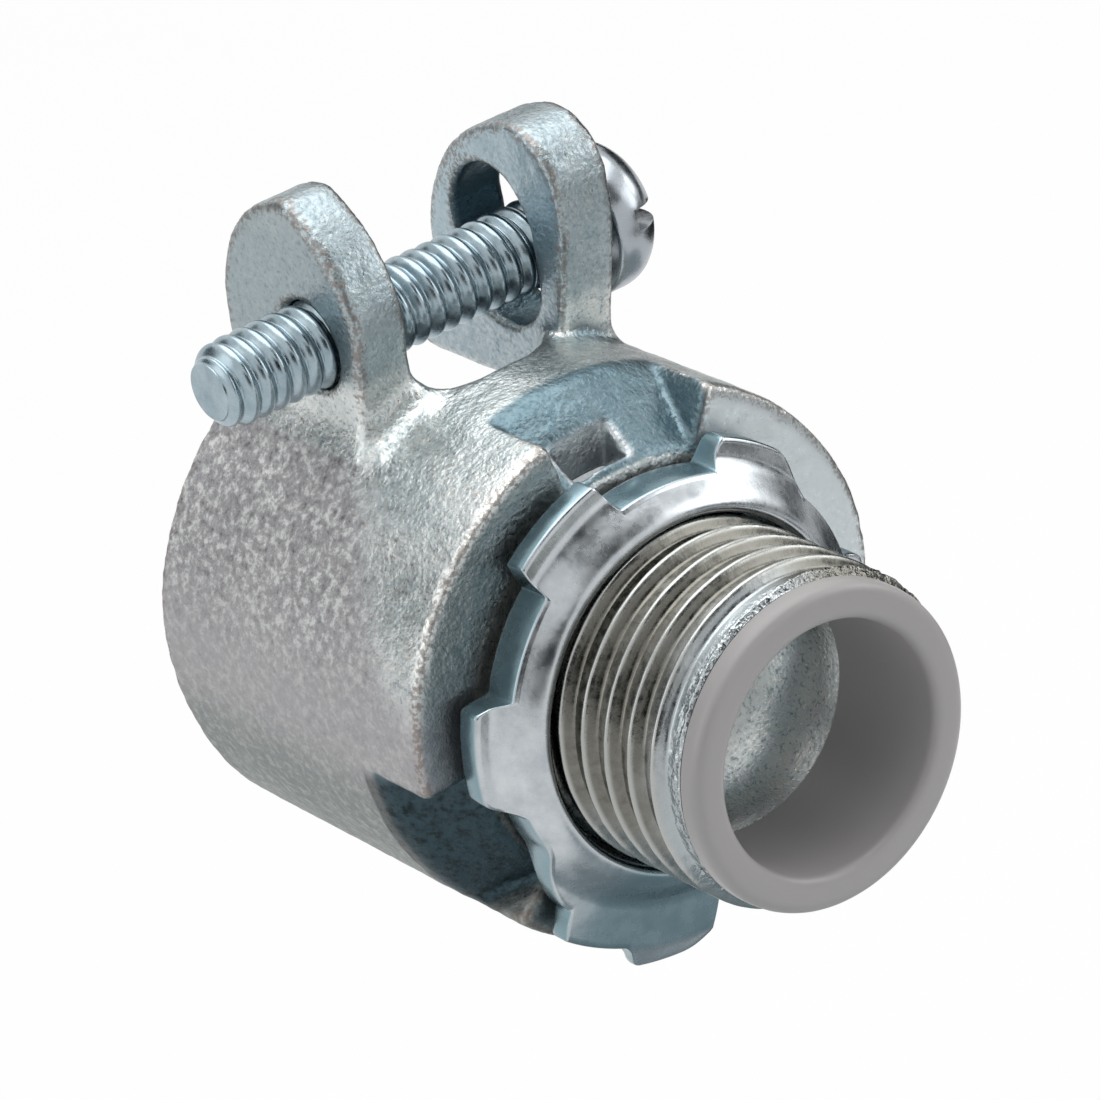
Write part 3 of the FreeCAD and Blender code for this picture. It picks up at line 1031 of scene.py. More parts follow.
@dataclass
class Casting:
    """The iron casting behind the nipple: barrel, ears and shoulder, with a sand-cast skin."""

    grid: float = 0.31
    grid_low: Place = (-27.4, -18.2, -18.2)
    grid_high: Place = (1.1, 18.2, 31.6)
    rear: float = -26.4
    rear_radius: float = 16.6
    shoulder_radius: float = 17.05
    barrel_edge: float = 0.5
    spring: float = 0.32
    spring_span: Span = (-0.25, 0.35)
    socket: float = 13.0
    stop: float = -2.2
    stop_lead: float = 1.6
    lead_slope: float = 0.7071
    throat: float = 7.8
    half_split: float = 5.35
    split_end: float = -10.0
    cut_edge: float = 0.4
    screw: Span = (-16.5, 20.3)
    tapped: float = 2.82
    tapped_edge: float = 0.25
    slot_hole: tuple[float, float, float, float] = (-16.8, 19.6, 22.4, 3.8)
    slot_edge: float = 0.5
    recess_angles: tuple[float, ...] = (85.5, 205.5, 325.5)
    recess_half: float = 20.0
    recess_floor: float = 13.2
    recess_slope: float = 0.78
    recess_back: float = -6.0
    recess_edge: float = 0.45
    window: tuple[float, float, float, float] = (93.2, 8.0, -2.7, -0.7)
    window_floor: float = 10.0
    window_edge: float = 0.35
    near_ear: Ear = Ear(-9.2, -5.35, 2.6, (
        (-24.9, 8.0, 0.0), (-13.1, 8.0, 0.0), (-11.4, 21.6, 0.0), (-11.4, 22.8, 1.1),
        (-17.0, 29.65, 1.94), (-24.9, 21.2, 0.0)))
    far_ear: Ear = Ear(5.25, 9.4, 1.1, (
        (-23.8, 8.0, 0.0), (-13.4, 8.0, 0.0), (-9.6, 23.4, 0.0), (-9.6, 25.8, 1.2),
        (-13.6, 29.8, 2.2), (-23.8, 20.6, 0.0)))
    lump: float = 0.045
    lump_size: float = 1.0
    swell: float = 0.06
    swell_size: float = 5.0
    bare_span: Span = (0.2, 1.4)
    finish: CastZinc = field(default_factory=lambda: CastZinc("zinc plated sand casting"))

    def distances(self, x: Array, y: Array, z: Array) -> Array:
        """Measure how far grid points lie outside the casting.

        Args:
            x: Grid places along X.
            y: Grid places along Y.
            z: Grid places along Z.

        Returns:
            Distances over the whole grid, negative inside.
        """
        gx, gy, gz = x[:, None, None], y[None, :, None], z[None, None, :]
        radius = np.hypot(gy, gz)
        angle = np.degrees(np.arctan2(gz, gy)) % 360
        growth = (self.shoulder_radius - self.rear_radius) * (gx - self.rear) / -self.rear
        outer = self.rear_radius + growth + self.spring * ease(gz / radius, *self.spring_span)
        shape = rounded_meet(radius - outer, np.maximum(self.rear - gx, gx), self.barrel_edge)
        for ear in (self.near_ear, self.far_ear):
            shape = blended(shape, ear.distance(x, y, z), ear.blend)
        past = gx - self.split_end + self.half_split
        slot = np.where(past > 0, np.hypot(np.maximum(past, 0), gy), np.abs(gy)) - self.half_split
        shape = carved(shape, np.maximum(slot, -gz), self.cut_edge)
        wide, deep = radius - self.socket, gx - self.stop
        lead = (wide + deep + self.stop_lead) * self.lead_slope
        shape = carved(shape, np.maximum(np.maximum(wide, deep), lead), self.cut_edge)
        shape = np.maximum(shape, self.throat - radius)
        bore = np.hypot(gx - self.screw[0], gz - self.screw[1]) - self.tapped
        shape = carved(shape, np.maximum(bore, gy), self.tapped_edge)
        middle, low, high, reach = self.slot_hole
        tall = np.hypot(gx - middle, gz - np.clip(gz, low, high)) - reach
        shape = carved(shape, np.maximum(tall, -gy), self.slot_edge)
        lean = 1 / math.hypot(1, self.recess_slope)
        floor = (self.recess_floor - self.recess_slope * gx - radius) * lean
        for middle in self.recess_angles:
            walls = radius * np.radians(np.abs(turned(angle, middle)) - self.recess_half)
            hollow = np.maximum(np.maximum(floor, walls), self.recess_back - gx)
            shape = carved(shape, hollow, self.recess_edge)
        middle, half, back, fore = self.window
        walls = radius * np.radians(np.abs(angle - middle) - half)
        level = np.maximum(gx - fore, self.window_floor - radius)
        opening = np.maximum(np.maximum(walls, back - gx), level)
        return np.maximum(carved(shape, opening, self.window_edge), gx)

    def build(self) -> Piece:
        """Make the casting.

        Returns:
            The dressed piece.
        """
        x, y, z = (np.arange(a, b, self.grid) for a, b in zip(self.grid_low, self.grid_high))
        net = surface_net(self.distances(x, y, z), np.array(self.grid_low), self.grid)
        mesh = mesh_from("casting", *net)
        tidy(mesh)
        points = smoothed(mesh, vectors(mesh.vertices, "co"), 1)
        put_positions(mesh, points)
        CastMarks(self, mesh, points).store()
        lumps = rumple(points, self.lump_size, 3.1)
        lumps = lumps + 0.6 * rumple(points, self.lump_size * 0.5, 7.7)
        away = self.lump * lumps + self.swell * rumple(points, self.swell_size, 11.3)
        px, pz = points[:, 0] / MM, points[:, 2] / MM
        hole = np.hypot(px - self.screw[0], pz - self.screw[1]) - self.tapped
        away = away * np.where(points[:, 1] < 0, ease(hole, *self.bare_span), 1.0) * MM
        points = points + vectors(mesh.vertex_normals, "vector") * away[:, None]
        points[:, 0] = np.minimum(points[:, 0], 0.0)
        put_positions(mesh, points)
        piece = new_object("casting", mesh)
        return dressed(piece, self.finish.build(), Body.CONNECTOR, Slot.CASTING, "connector_body")


@dataclass
class CastMarks:
    """The numbers on the casting's vertices that its finish reads, each from 0 to 1."""

    cast: Casting
    mesh: Mesh
    points: Array
    wear_rounds: int = 14
    wear_reach: float = 0.16
    floor_margin: float = 1.0
    floor_top: float = 18.0
    floor_rise: Band = Band((-0.9, -0.2), (0.1, 1.6))
    end_turn: Span = (7.0, 18.0)
    end_margin: float = 0.9
    end_back: float = -6.2
    end_rise: Band = Band((-0.9, -0.2), (3.2, 3.8))
    front_tilt: Span = (0.75, 0.95)
    front_back: float = -0.4
    near_front_shade: float = 0.52
    mouth_margin: float = 0.1
    pocket: Band = Band((184.0, 188.0), (240.0, 246.0))
    pocket_back: float = -6.5
    pocket_step: float = 222.0
    pocket_rise: Place = (0.3, 1.5, 2.0)
    pocket_share: float = 0.95
    margin: float = 0.3
    hole_span: Span = (0.1, 0.5)
    hole_share: float = 0.85
    calm_line: Span = (108.0, 44.0)
    calm_run: Span = (-14.0, -1.0)
    calm_width: float = 26.0
    below_end: Span = (300.0, 340.0)
    under_span: Span = (172.0, 206.0)
    barrel_top: float = 17.6
    face_margin: float = 0.6
    lug_span: Span = (17.6, 20.0)
    inside_span: Span = (11.0, 13.0)
    inside_front: float = -9.0
    inside_tilt: Span = (0.55, 0.85)
    broad_tilt: float = 0.8
    flank: Band = Band((106.0, 124.0), (148.0, 176.0))
    flank_top: float = 17.8
    flank_run: Span = (-11.0, -4.0)
    raw_margin: float = 1.5
    raw_span: Span = (14.6, 15.4)
    socket_margin: float = 0.05

    def __post_init__(self) -> None:
        """Measure what the marks are worked out from."""
        self.x, self.y, self.z = self.points.T / MM
        self.out = vectors(self.mesh.vertex_normals, "vector")
        self.angle = bearing(self.points)
        self.radius = np.hypot(self.y, self.z)
        self.front = ease(self.out[:, 0], *self.front_tilt) * (self.x > self.front_back)
        self.lug = ease(self.z, *self.lug_span)

    def store(self) -> None:
        """Store every mark on the mesh."""
        self.hollows()
        self.skin()
        self.lugs()

    def hollows(self) -> None:
        """Store where edges stand out, and where painted shade goes: in hollows, in the recesses,
        in the far ear's slot and in the bottom pocket.
        """
        cast, x, y, z = self.cast, self.x, self.y, self.z
        away = self.points - smoothed(self.mesh, self.points, self.wear_rounds)
        stand = np.einsum("ij,ij->i", away, self.out) / (self.wear_reach * MM)
        put_attribute(self.mesh, "edge_wear", np.clip(stand, 0, 1), 2)
        # painted shade on the recesses' floors and end walls
        rise = self.radius - cast.recess_floor + cast.recess_slope * x
        third = turned(self.angle, cast.recess_angles[0], 120.0)
        floor = (np.abs(third) < cast.recess_half + self.floor_margin) * self.floor_rise.of(rise)
        floor = floor * (self.radius < self.floor_top)
        end = ease(-third, *self.end_turn) * (third > -cast.recess_half - self.end_margin)
        floor = np.maximum(floor, end * (x > self.end_back) * self.end_rise.of(rise))
        # painted shade on the shoulder's front face left of the nut, which the nut shades
        floor = np.maximum(floor, self.near_front_shade * self.front * (y < 0))
        floor = floor * (self.radius > cast.socket + self.mouth_margin)
        hollow = np.maximum(np.clip(-stand, 0, 1), floor)
        # painted shade on the floor of the lower left pocket, next to the nut
        first, stepped, top = self.pocket_rise
        shaded_pocket = self.pocket.of(self.angle) * (x > self.pocket_back)
        shaded_pocket = shaded_pocket * (1 - ease(rise, np.where(self.angle > self.pocket_step, stepped, first), top))
        put_attribute(self.mesh, "pocket_shade", self.pocket_share * shaded_pocket)
        # painted shade on the wall of the slot through the far ear
        middle, low, high, reach = cast.slot_hole
        wall = np.abs(np.hypot(x - middle, z - np.clip(z, low, high)) - reach)
        ear = cast.far_ear
        inner = (y > ear.near_y + self.margin) & (y < ear.far_y - self.margin)
        inner = self.hole_share * inner * (1 - ease(wall, *self.hole_span))
        put_attribute(self.mesh, "recess_shade", np.maximum(hollow, inner), 2)

    def skin(self) -> None:
        """Store where the skin is calmer and painted darker as shade, where the underside gets
        painted shade, where the shoulder's lit front face gets painted light, and where the skin is
        left raw.
        """
        cast, x = self.cast, self.x
        first, further = self.calm_line
        line = first + further * ease(x, *self.calm_run)
        below = (1 - ease(self.angle, *self.below_end)) * (self.radius < self.barrel_top)
        # the calmer skin on the left side and underside, which also gets painted shade
        calm = ease(self.angle, line, line + self.calm_width) * below
        # painted light on the shoulder's front face right of the nut, where the light falls
        face = self.front * (self.radius > cast.socket + self.face_margin) * (self.y > 0)
        middle, half, back, fore = cast.window
        raw = (np.abs(self.angle - middle) < half + self.raw_margin) & (x > back - self.margin)
        raw = raw * (x < fore + self.margin) * (1 - ease(self.radius, *self.raw_span))
        socket = (self.radius < cast.socket + self.socket_margin) & (x < cast.stop + self.margin)
        for name, values in (("calm", calm),
                             # painted shade on the barrel's underside
                             ("under", ease(self.angle, *self.under_span) * below),
                             ("lit_front_face", 0.9 * face),
                             ("pebbled", 0.85 * (1 - 0.6 * calm) * (1 - 0.9 * face)),
                             ("grained", 1 - 0.8 * face)):
            put_attribute(self.mesh, name, values)
        put_attribute(self.mesh, "raw", np.maximum(raw, socket), 1)

    def lugs(self) -> None:
        """Store where the ears lie, with painted shade on the far ear's lower inner face and
        painted light on the far ear's broad faces, and how mottled the skin is.
        """
        side = self.out[:, 1]
        # painted shade on the far ear's lower inner face
        inside = ease(self.z, *self.inside_span) * (self.y > 0) * (self.x < self.inside_front)
        inside = inside * ease(-side, *self.inside_tilt)
        broad = (self.y > 0) * (np.abs(side) > self.broad_tilt)
        flank = self.flank.of(self.angle) * (self.radius < self.flank_top)
        flank = flank * (1 - 0.55 * ease(self.x, *self.flank_run))
        for name, values in (
                ("lug", np.maximum(self.lug, inside)),
                # painted light on the far ear's broad faces, brighter than the near ear
                ("far_ear_light", 0.55 * np.maximum(self.lug * broad, 0.5 * inside)),
                ("mottled", np.clip(0.24 + 0.66 * flank - 0.14 * self.lug, 0, 1))):
            put_attribute(self.mesh, name, values)


@dataclass
class Nipple:
    """The casting's threaded nipple, with its end face and its bore."""

    crest: float = 10.6
    depth: float = 0.74
    pitch: float = 2.15
    land: float = 0.04
    root: float = 0.42
    phase: float = 0.375
    start: float = 0.3
    end: float = 15.3
    end_radius: float = 9.95
    seat: float = 8.8
    seat_back: float = 8.0
    throat: float = 7.8
    wall_reach: float = 1.5
    around: int = 224
    torn: float = 0.16
    torn_back: Span = (1.5, 0.7)
    torn_limit: float = 0.05
    ripple: float = 0.02
    clean_span: Span = (11.0, 14.0)
    # painted sheen on the thread's lower side
    sheen_below: Band = Band((190.0, 225.0), (300.0, 330.0))
    # painted dark reflection: the upper right side keeps the dark base
    dark_reflection_end: Span = (70.0, 105.0)
    finish: PlatedSteel = field(default_factory=lambda: PlatedSteel(
        "zinc plated cut thread", pale="#81807a", deep="#65645e", cloud_mm=0.6, wave_mm=0.4,
        bump_mm=0.014, roughness=(0.20, 0.34), crest="#b0b2af", clean_and_sheen="#aeb5b8",
        crest_span=(10.3 * MM, 10.56 * MM), torn_height=0.11, torn_mm=0.28))
    wall: CastZinc = field(default_factory=lambda: CastZinc(
        "zinc plated cast throat", pebble_mm=0.3))

    def build(self) -> Piece:
        """Make the nipple's thread and the wall of its throat.

        Returns:
            The throat's dressed wall.
        """
        finish = self.finish.build()
        thread = Thread("nipple", Axis.X, self.crest, self.depth, self.pitch, self.start,
                        self.end - self.start, self.crest, self.end_radius, self.land, self.root,
                        self.around, phase=self.phase).build(finish)
        self.tear(thread.data)
        dressed(thread, finish, Body.CONNECTOR, Slot.CASTING)
        back = self.start - self.wall_reach
        bore = lathe("throat_wall", [
            (self.end, self.end_radius), (self.end, self.seat), (self.seat_back, self.seat),
            (self.seat_back, self.throat), (back, self.throat),
            (back, self.throat + self.wall_reach), (self.start, self.crest - 0.3)],
            Axis.X, self.around)
        for name, value in (("pebbled", 0.45), ("grained", 1.0)):
            put_attribute(bore.data, name, np.full(len(bore.data.vertices), value))
        return dressed(bore, self.wall.build(), Body.CONNECTOR, Slot.CASTING)

    def tear(self, mesh: Mesh) -> None:
        """Roughen the last turn, where the die tore the plate, and mark where the zinc is free of
        the olive film, with painted sheen on the lower side and painted dark reflection on the
        upper right side.

        Args:
            mesh: The thread's mesh.
        """
        spots = vectors(mesh.vertices, "co")
        along = spots[:, 0] / MM
        last = ease(along, self.end - self.torn_back[0], self.end - self.torn_back[1])
        rough = rumple(spots, 0.45, 2.9) * self.torn * last + rumple(spots, 0.9, 6.1) * self.ripple
        away = np.minimum(rough, self.torn_limit) * MM
        put_positions(mesh, spots + vectors(mesh.vertex_normals, "vector") * away[:, None])
        put_attribute(mesh, "torn", last)
        angle = bearing(spots)
        outer = 0.9 * ease(along + 0.8 * rumple(spots, 2.4, 4.7), *self.clean_span)
        clean_and_sheen = np.maximum(outer, 0.6 * self.sheen_below.of(angle))
        put_attribute(mesh, "clean_and_sheen", clean_and_sheen * ease(angle, *self.dark_reflection_end))


@dataclass
class ThroatInsulator:
    """The moulded plastic sleeve with a rounded lip."""

    back: float = 8.05
    front: float = 17.0
    throat: float = 7.8
    sleeve: float = 8.75
    lip: float = 10.08
    lip_back: float = 15.35
    crown: float = 0.85
    mouth: float = 0.7
    around: int = 256
    finish: MouldedPlastic = field(default_factory=lambda: MouldedPlastic(
        "grey moulded thermoplastic"))

    def build(self) -> Piece:
        """Make the insulator.

        Returns:
            The dressed piece.
        """
        outline = rounded_profile([
            (self.back, self.sleeve, 0), (self.back, self.throat, 0.2),
            (self.front, self.throat, self.mouth), (self.front, self.lip, self.crown),
            (self.lip_back, self.lip, 0.3), (self.lip_back, self.sleeve, 0.1),
            (self.back, self.sleeve, 0)])
        piece = lathe("insulator", outline, Axis.X, self.around)
        return dressed(piece, self.finish.build(), Body.CONNECTOR, Slot.PLASTIC, "throat_insulator")


@dataclass
class Locknut:
    """The stamped locknut: a domed ring with six lobes, one of them long and bent back.

    Each plain lobe has a middle angle and the half widths of its two flanks.
    """

    back: float = 0.9
    front: float = 4.8
    bore: float = 10.85
    rim: float = 13.0
    lobe: float = 14.9
    lobes: tuple[Place, ...] = (
        (54.0, 9.0, 2.0), (117.0, 1.6, 1.6), (177.0, 2.2, 5.0), (297.0, 4.0, 4.0),
        (357.0, 4.0, 4.0))
    lobe_half: float = 14.0
    wide_lobe: float = 16.7
    long_lobe: float = 18.4
    lead_span: Span = (206.0, 228.0)
    wide_span: Span = (227.5, 231.0)
    wide_end: Span = (267.0, 277.0)
    long_band: Band = Band((247.0, 255.0), (265.0, 277.0))
    bulge: float = 0.45
    bulge_angle: float = 15.0
    dome: float = 2.0
    dome_start: float = 0.3
    dome_span: Span = (0.05, 1.32)
    lobe_slope: float = 0.10
    bend_radius: float = 16.8
    heel_radius: float = 17.5
    bend_slope: float = 0.8
    edge: float = 0.24
    edge_round: tuple[Span, ...] = ((0.06, 0.09), (0.16, 0.02), (0.26, 0.0))
    heel_round: tuple[Span, ...] = ((0.35, 0.0), (0.1, 0.1), (0.0, 0.35))
    shift: Span = (-0.08, -0.08)
    steps: int = 900
    across: int = 26
    dent: float = 0.06
    dent_size: float = 5.0
    dent_back: float = 1.4
    sheared_tilt: Span = (0.25, 0.55)
    shade_band: Band = Band((222.0, 240.0), (280.0, 300.0))
    shade_end: Span = (16.6, 17.0)
    shade_share: float = 0.8
    finish: PlatedSteel = field(default_factory=lambda: PlatedSteel(
        "zinc plated stamped steel", pale="#ccd1d4", deep="#aeb4b9", roughness=(0.22, 0.31),
        bump_mm=0.03))

    def outer(self, angle: Array) -> Array:
        """Give the outline's radius.

        Args:
            angle: Angles from +Y towards +Z.

        Returns:
            The radius at each angle.
        """
        swell = np.maximum(np.cos(np.radians(angle - self.bulge_angle)), 0) ** 4
        radius = self.rim + self.bulge * swell
        for middle, rise, fall in self.lobes:
            plain = Band((-self.lobe_half - rise, rise - self.lobe_half),
                         (self.lobe_half - fall, self.lobe_half + fall))
            share = plain.of(turned(angle, middle))
            radius = np.maximum(radius, self.rim + (self.lobe - self.rim) * share)
        lead = (self.lobe - self.rim) * ease(angle, *self.lead_span)
        wide = (self.wide_lobe - self.lobe) * ease(angle, *self.wide_span)
        long = (self.long_lobe - self.wide_lobe) * self.long_band.of(angle)
        bent = (lead + wide) * (1 - ease(angle, *self.wide_end)) + long
        return np.maximum(radius, self.rim + bent)

    def face(self, radius: Array) -> Array:
        """Give the domed front face's height.

        Args:
            radius: Radii on the face.

        Returns:
            Lengths along X.
        """
        out = (radius - self.bore - self.dome_start) / (self.rim - self.bore)
        level = self.front - self.dome * ease(out, *self.dome_span)
        level = level - self.lobe_slope * np.maximum(radius - self.rim, 0)
        return level - self.bend_slope * np.maximum(radius - self.bend_radius, 0)

    def section(self, radius: float) -> Array:
        """Give the cross-section at one angle.

        Args:
            radius: The outline's radius there.

        Returns:
            A closed ring of points of length along X and radius.
        """
        span = np.linspace(self.bore + 0.35, radius - self.edge, self.across)
        edge = self.face(np.array([radius - self.edge]))[0]
        heel = self.back - self.bend_slope * max(radius - self.heel_radius, 0.0)
        return np.array([
            (self.front - 0.45, self.bore), (self.front - 0.12, self.bore + 0.12),
            *zip(self.face(span), span),
            *((edge - fall, radius - inward) for fall, inward in self.edge_round),
            *((heel + rise, radius - inward) for rise, inward in self.heel_round),
            (self.back, min(radius - 0.45, self.heel_radius)), (self.back, self.rim - 0.6),
            (self.back + 0.2, self.rim - 1.0), (self.front - 2.4, self.bore),
            (self.front - 1.2, self.bore)])

    def build(self) -> Piece:
        """Make the locknut.

        Returns:
            The dressed piece.
        """
        angles = np.arange(self.steps) * 360 / self.steps
        rings = np.array([self.section(r) for r in self.outer(angles)])
        turn = np.radians(angles)[:, None]
        points = np.stack([rings[..., 0], rings[..., 1] * np.cos(turn) + self.shift[0],
                           rings[..., 1] * np.sin(turn) + self.shift[1]], -1)
        count = rings.shape[1]
        faces = []
        for i in range(self.steps):
            a, b = i * count, (i + 1) % self.steps * count
            faces += [(a + j, a + (j + 1) % count, b + (j + 1) % count, b + j)
                      for j in range(count)]
        mesh = mesh_from("locknut_stamping", points.reshape(-1, 3), faces)
        tidy(mesh)
        spots, out = vectors(mesh.vertices, "co"), vectors(mesh.vertex_normals, "vector")
        radius = np.hypot(spots[:, 1], spots[:, 2]) / MM
        free = ease(radius, self.bore + self.dome_start, self.rim)
        free = self.dent * free * (spots[:, 0] > self.dent_back * MM)
        dents = rumple(spots, self.dent_size, 5.3) * free
        put_positions(mesh, spots + out * (dents * MM)[:, None])
        # painted shade on the nut's lower part, which faces down
        dull = self.shade_share * self.shade_band.of(bearing(spots))
        dull = dull * (1 - ease(radius, *self.shade_end))
        sheared_and_shade = 1 - ease(np.abs(out[:, 0]), *self.sheared_tilt)
        put_attribute(mesh, "sheared_and_shade", np.maximum(sheared_and_shade, dull))
        piece = new_object("locknut_stamping", mesh)
        return dressed(piece, self.finish.build(), Body.LOCKNUT, Slot.STAMPING, "locknut")


@dataclass
class ClampScrew:
    """The slotted round-head machine screw through the ears, with a round-crested rolled thread."""

    centre: Span = (-16.5, 20.3)
    crest: float = 2.72
    depth: float = 0.88
    pitch: float = 1.16
    land: float = 0.04
    root: float = -1.0
    around: int = 96
    per_pitch: int = 16
    tip: float = -16.5
    tip_radius: float = 1.8
    tip_drop: float = 0.5
    head: float = 10.9
    head_radius: float = 4.75
    head_height: float = 4.55
    head_rim: float = 1.5
    head_edge: Span = (0.25, 0.08)
    head_steps: int = 20
    overlap: float = 0.3
    drive_width: float = 1.3
    drive_depth: float = 3.0
    drive_reach: float = 1.3
    drive_angle: float = 170.0
    bevel: float = 0.12
    bevel_angle: float = 35.0
    head_shade: float = 0.85
    finish: PlatedSteel = field(default_factory=lambda: PlatedSteel(
        "zinc plated rolled steel", pale="#acbbc2", deep="#8b9da6", cloud_mm=1.2, wave_mm=0.6,
        bump_mm=0.012, roughness=(0.20, 0.30), sheared_and_shade="#a6abb0"))

    def build(self) -> Piece:
        """Make the screw.

        Returns:
            The dressed piece.
        """
        finish = self.finish.build()
        shank = Thread("shank", Axis.Y, self.crest, self.depth, self.pitch, self.tip,
                       self.head - self.tip + self.overlap, self.tip_radius, self.crest, self.land,
                       self.root, self.around, self.centre, self.per_pitch,
                       tip_drop=self.tip_drop).build(finish)
        disc = [(self.tip, self.tip_radius * share) for share in (1.0, 0.5, 0.0)]
        tip = lathe("screw_tip", disc, Axis.Y, self.around, self.centre)
        screw = joined([shank, tip, self.head_piece()], "screw")
        return dressed(screw, finish, Body.SCREW, Slot.SCREW, "clamp_screw")

    def head_piece(self) -> Piece:
        """Turn the domed head and cut its slot.

        Returns:
            The head.
        """
        dome, top = self.head_height - self.head_rim, self.head + self.head_height
        wide, narrow = self.head_edge
        outline = [(self.head, 0.0), (self.head, self.crest), (self.head, self.head_radius - wide),
                   (self.head + narrow, self.head_radius - narrow),
                   (self.head + wide, self.head_radius)]
        for k in range(self.head_steps):
            turn = math.pi / 2 * k / self.head_steps
            outline.append((self.head + self.head_rim + dome * math.sin(turn),
                            self.head_radius * math.cos(turn)))
        outline.append((top, 0.0))
        head = lathe("screw_head", outline, Axis.Y, self.around, self.centre)
        cut = head.modifiers.new("drive", "BOOLEAN")
        cut.operation = "DIFFERENCE"
        cut.solver = "EXACT"
        cut.object = blade = self.blade(top)
        edge = head.modifiers.new("edge", "BEVEL")
        edge.width = self.bevel * MM
        edge.segments = 2
        edge.limit_method = "ANGLE"
        edge.angle_limit = math.radians(self.bevel_angle)
        baked(head)
        bpy.data.objects.remove(blade)
        # painted shade: a greyer, slightly darker tone on the head than on the shank
        put_attribute(head.data, "sheared_and_shade", np.full(len(head.data.vertices), self.head_shade))
        return head

    def blade(self, top: float) -> Piece:
        """Make the block that the drive slot is cut with.

        Args:
            top: The place of the head's top along Y.

        Returns:
            The block.
        """
        half = Vector((self.head_radius * self.drive_reach, self.drive_depth, self.drive_width / 2))
        low = top - self.drive_depth
        spin = Matrix.Rotation(math.radians(self.drive_angle), 3, "Y")
        middle = Vector((self.centre[0], 0, self.centre[1]))
        points = np.array([
            spin @ Vector((sx * half.x, low + (sy + 1) * half.y, sz * half.z)) + middle
            for sx in (-1, 1) for sy in (-1, 1) for sz in (-1, 1)])
        mesh = mesh_from("drive_blade", points, [
            (0, 1, 3, 2), (4, 6, 7, 5), (0, 4, 5, 1), (2, 3, 7, 6), (0, 2, 6, 4), (1, 5, 7, 3)])
        tidy(mesh)
        return new_object("drive_blade", mesh)


@dataclass(frozen=True)
class SoftBox:
    """A rectangular lamp that faces the connector, in watts per square metre and steradian."""

    name: str
    place: Place
    size: Span
    radiance: float

    def hang(self) -> None:
        """Put the lamp in the scene."""
        data = bpy.data.lights.new(self.name, "AREA")
        data.shape = "RECTANGLE"
        data.size, data.size_y = self.size[0] * MM, self.size[1] * MM
        data.energy = self.radiance * math.pi * data.size * data.size_y
        lamp = new_object(self.name, data)
        lamp.location = Vector(self.place) * MM
        lamp.rotation_euler = lamp.location.to_track_quat("Z", "Y").to_euler()


@dataclass(frozen=True)
class Card:
    """A plain matte card that faces a point, for the metal to mirror."""

    name: str
    place: Place
    size: Span
    colour: str
    toward: Place = (0.0, 0.0, 0.0)

    def stand(self) -> None:
        """Put the card in the scene, out of the camera's sight and without a shadow."""
        place = Vector(self.place)
        turn = (place - Vector(self.toward)).to_track_quat("Z", "Y").to_matrix()
        card = sheet(self.name, place, turn, self.size)
        material = bpy.data.materials.new(self.name)
        material.use_nodes = True
        tree = material.node_tree
        fill(tree, tree.nodes["Principled BSDF"], {
            "Base Color": to_linear(self.colour), "Roughness": 1.0, "Specular IOR Level": 0.0})
        card.data.materials.append(material)
        card.visible_camera = False
        card.visible_shadow = False
        card.visible_diffuse = False


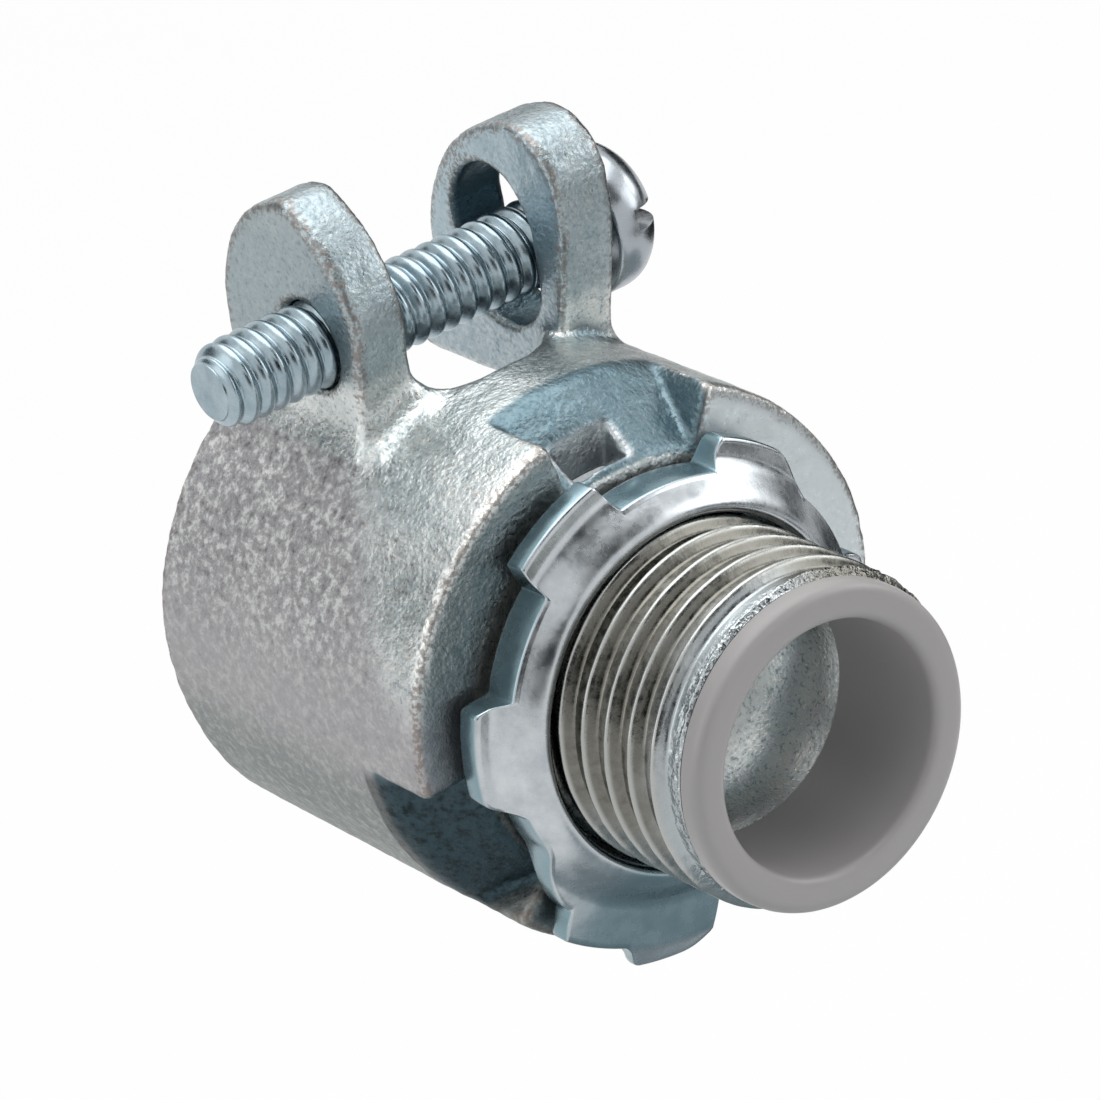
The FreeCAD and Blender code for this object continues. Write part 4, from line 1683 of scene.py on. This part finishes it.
@dataclass
class Studio:
    """Camera, light, floor and white surroundings."""

    eye: Place = (365.3, -253.4, 228.9)
    right: Place = (0.6133, 0.7764, -0.1451)
    up: Place = (-0.2716, 0.3798, 0.8843)
    back: Place = (0.7417, -0.5029, 0.4439)
    lens: float = 276.45
    sensor: float = 36.0
    clip_m: Span = (0.01, 10.0)
    floor_z: float = -60.0
    floor_size: Span = (1800.0, 1800.0)
    floor_glow: float = 0.92
    paper: str = "#f4f4f4"
    white: str = "#ffffff"
    fill_tint: str = "#eef3f6"
    fill_strength: float = 0.40
    boxes: tuple[SoftBox, ...] = (
        SoftBox("top_softbox", (-60, 60, 520), (640, 640), 1.9),
        SoftBox("left_softbox", (-160, -520, 220), (260, 420), 0.9),
        SoftBox("right_softbox", (380, 420, 250), (240, 320), 1.8),
        SoftBox("side_softbox", (150, 530, 240), (200, 200), 2.6),
    )
    cards: tuple[Card, ...] = (
        Card("dark_card_front", (480, -330, 130), (420, 300), "#1c2226"),
        Card("grey_card_below", (18, 22, -58), (84, 92), "#a0abaf", (18, 22, 0)),
        Card("dark_card_right", (-170, 520, 120), (330, 300), "#20272b"),
        Card("dark_card_beside", (-20, 225, -57), (220, 190), "#23292c", (-20, 225, 0)),
        Card("dark_card_level", (330, 440, 8), (420, 130), "#23292c"),
        Card("dark_card_edge", (-30, 570, -5), (330, 100), "#23292c"),
        Card("dark_card_floor", (192, 168, -57), (140, 130), "#12171a", (192, 168, 0)),
        Card("dark_card_back", (-444, -300, 150), (340, 300), "#62696d"),
        Card("dark_card_far", (-444, 402, 40), (300, 190), "#20272b"),
        Card("dark_card_above", (405, 48, 438), (400, 360), "#2b3134"),
    )

    def build(self) -> None:
        """Set the whole studio up."""
        self.camera()
        self.world()
        self.floor()
        for box in self.boxes:
            box.hang()
        for card in self.cards:
            card.stand()
        bpy.context.scene.view_settings.view_transform = "Standard"
        LOG.info("studio: %d lamps and %d cards", len(self.boxes), len(self.cards))

    def camera(self) -> None:
        """Put the camera where the photograph was taken from."""
        data = bpy.data.cameras.new("photo_camera")
        data.lens = self.lens
        data.sensor_width = self.sensor
        data.clip_start, data.clip_end = self.clip_m
        camera = new_object("photo_camera", data)
        turn = Matrix((self.right, self.up, self.back)).transposed().to_4x4()
        camera.matrix_world = Matrix.Translation(Vector(self.eye) * MM) @ turn
        bpy.context.scene.camera = camera

    def world(self) -> None:
        """Make the surroundings white to the camera and in the metal, and dimmer as a light."""
        world = bpy.data.worlds.new("white_surroundings")
        world.use_nodes = True
        tree = world.node_tree
        tree.nodes.clear()
        dim, bright = (
            add_node(tree, "ShaderNodeBackground", {"Color": to_linear(code), "Strength": strength})
            for code, strength in ((self.fill_tint, self.fill_strength), (self.white, 1.0)))
        mix = add_node(tree, "ShaderNodeMixShader", {
            0: self.seen(tree), 1: dim.outputs[0], 2: bright.outputs[0]})
        add_node(tree, "ShaderNodeOutputWorld", {"Surface": mix.outputs[0]})
        bpy.context.scene.world = world

    @staticmethod
    def seen(tree: Tree) -> Socket:
        """Tell rays that show the background: to the camera, in metal and through glass.

        Args:
            tree: The node tree of the world or of the floor's material.

        Returns:
            A number that is 1 for such a ray.
        """
        path = add_node(tree, "ShaderNodeLightPath").outputs
        mirror = maths(tree, "MAXIMUM", path["Is Glossy Ray"], path["Is Transmission Ray"])
        return maths(tree, "MAXIMUM", path["Is Camera Ray"], mirror)

    def floor(self) -> None:
        """Lay a pale floor below the connector, white but for a faint shadow."""
        floor = sheet("floor", Vector((0, 0, self.floor_z)), Matrix.Identity(3), self.floor_size)
        material = bpy.data.materials.new("matte white paper")
        material.use_nodes = True
        tree = material.node_tree
        tree.nodes.clear()
        paper = add_node(tree, "ShaderNodeBsdfDiffuse", {"Color": to_linear(self.paper)}).outputs[0]
        white = add_node(tree, "ShaderNodeEmission", {
            "Color": to_linear(self.white), "Strength": 1.0}).outputs[0]
        lit = add_node(tree, "ShaderNodeMixShader", {0: self.floor_glow, 1: paper, 2: white})
        mix = add_node(tree, "ShaderNodeMixShader", {
            0: self.seen(tree), 1: paper, 2: lit.outputs[0]})
        add_node(tree, "ShaderNodeOutputMaterial", {"Surface": mix.outputs[0]})
        floor.data.materials.append(material)


def main() -> None:
    """Build every piece in order, then the studio."""
    logging.basicConfig(level=logging.INFO, format="%(name)s: %(message)s")
    builders: list[Callable[[], Any]] = [
        Casting().build, Nipple().build, ThroatInsulator().build, Locknut().build,
        ClampScrew().build, Studio().build]
    for build in builders:
        build()


if __name__ == "__main__":
    main()
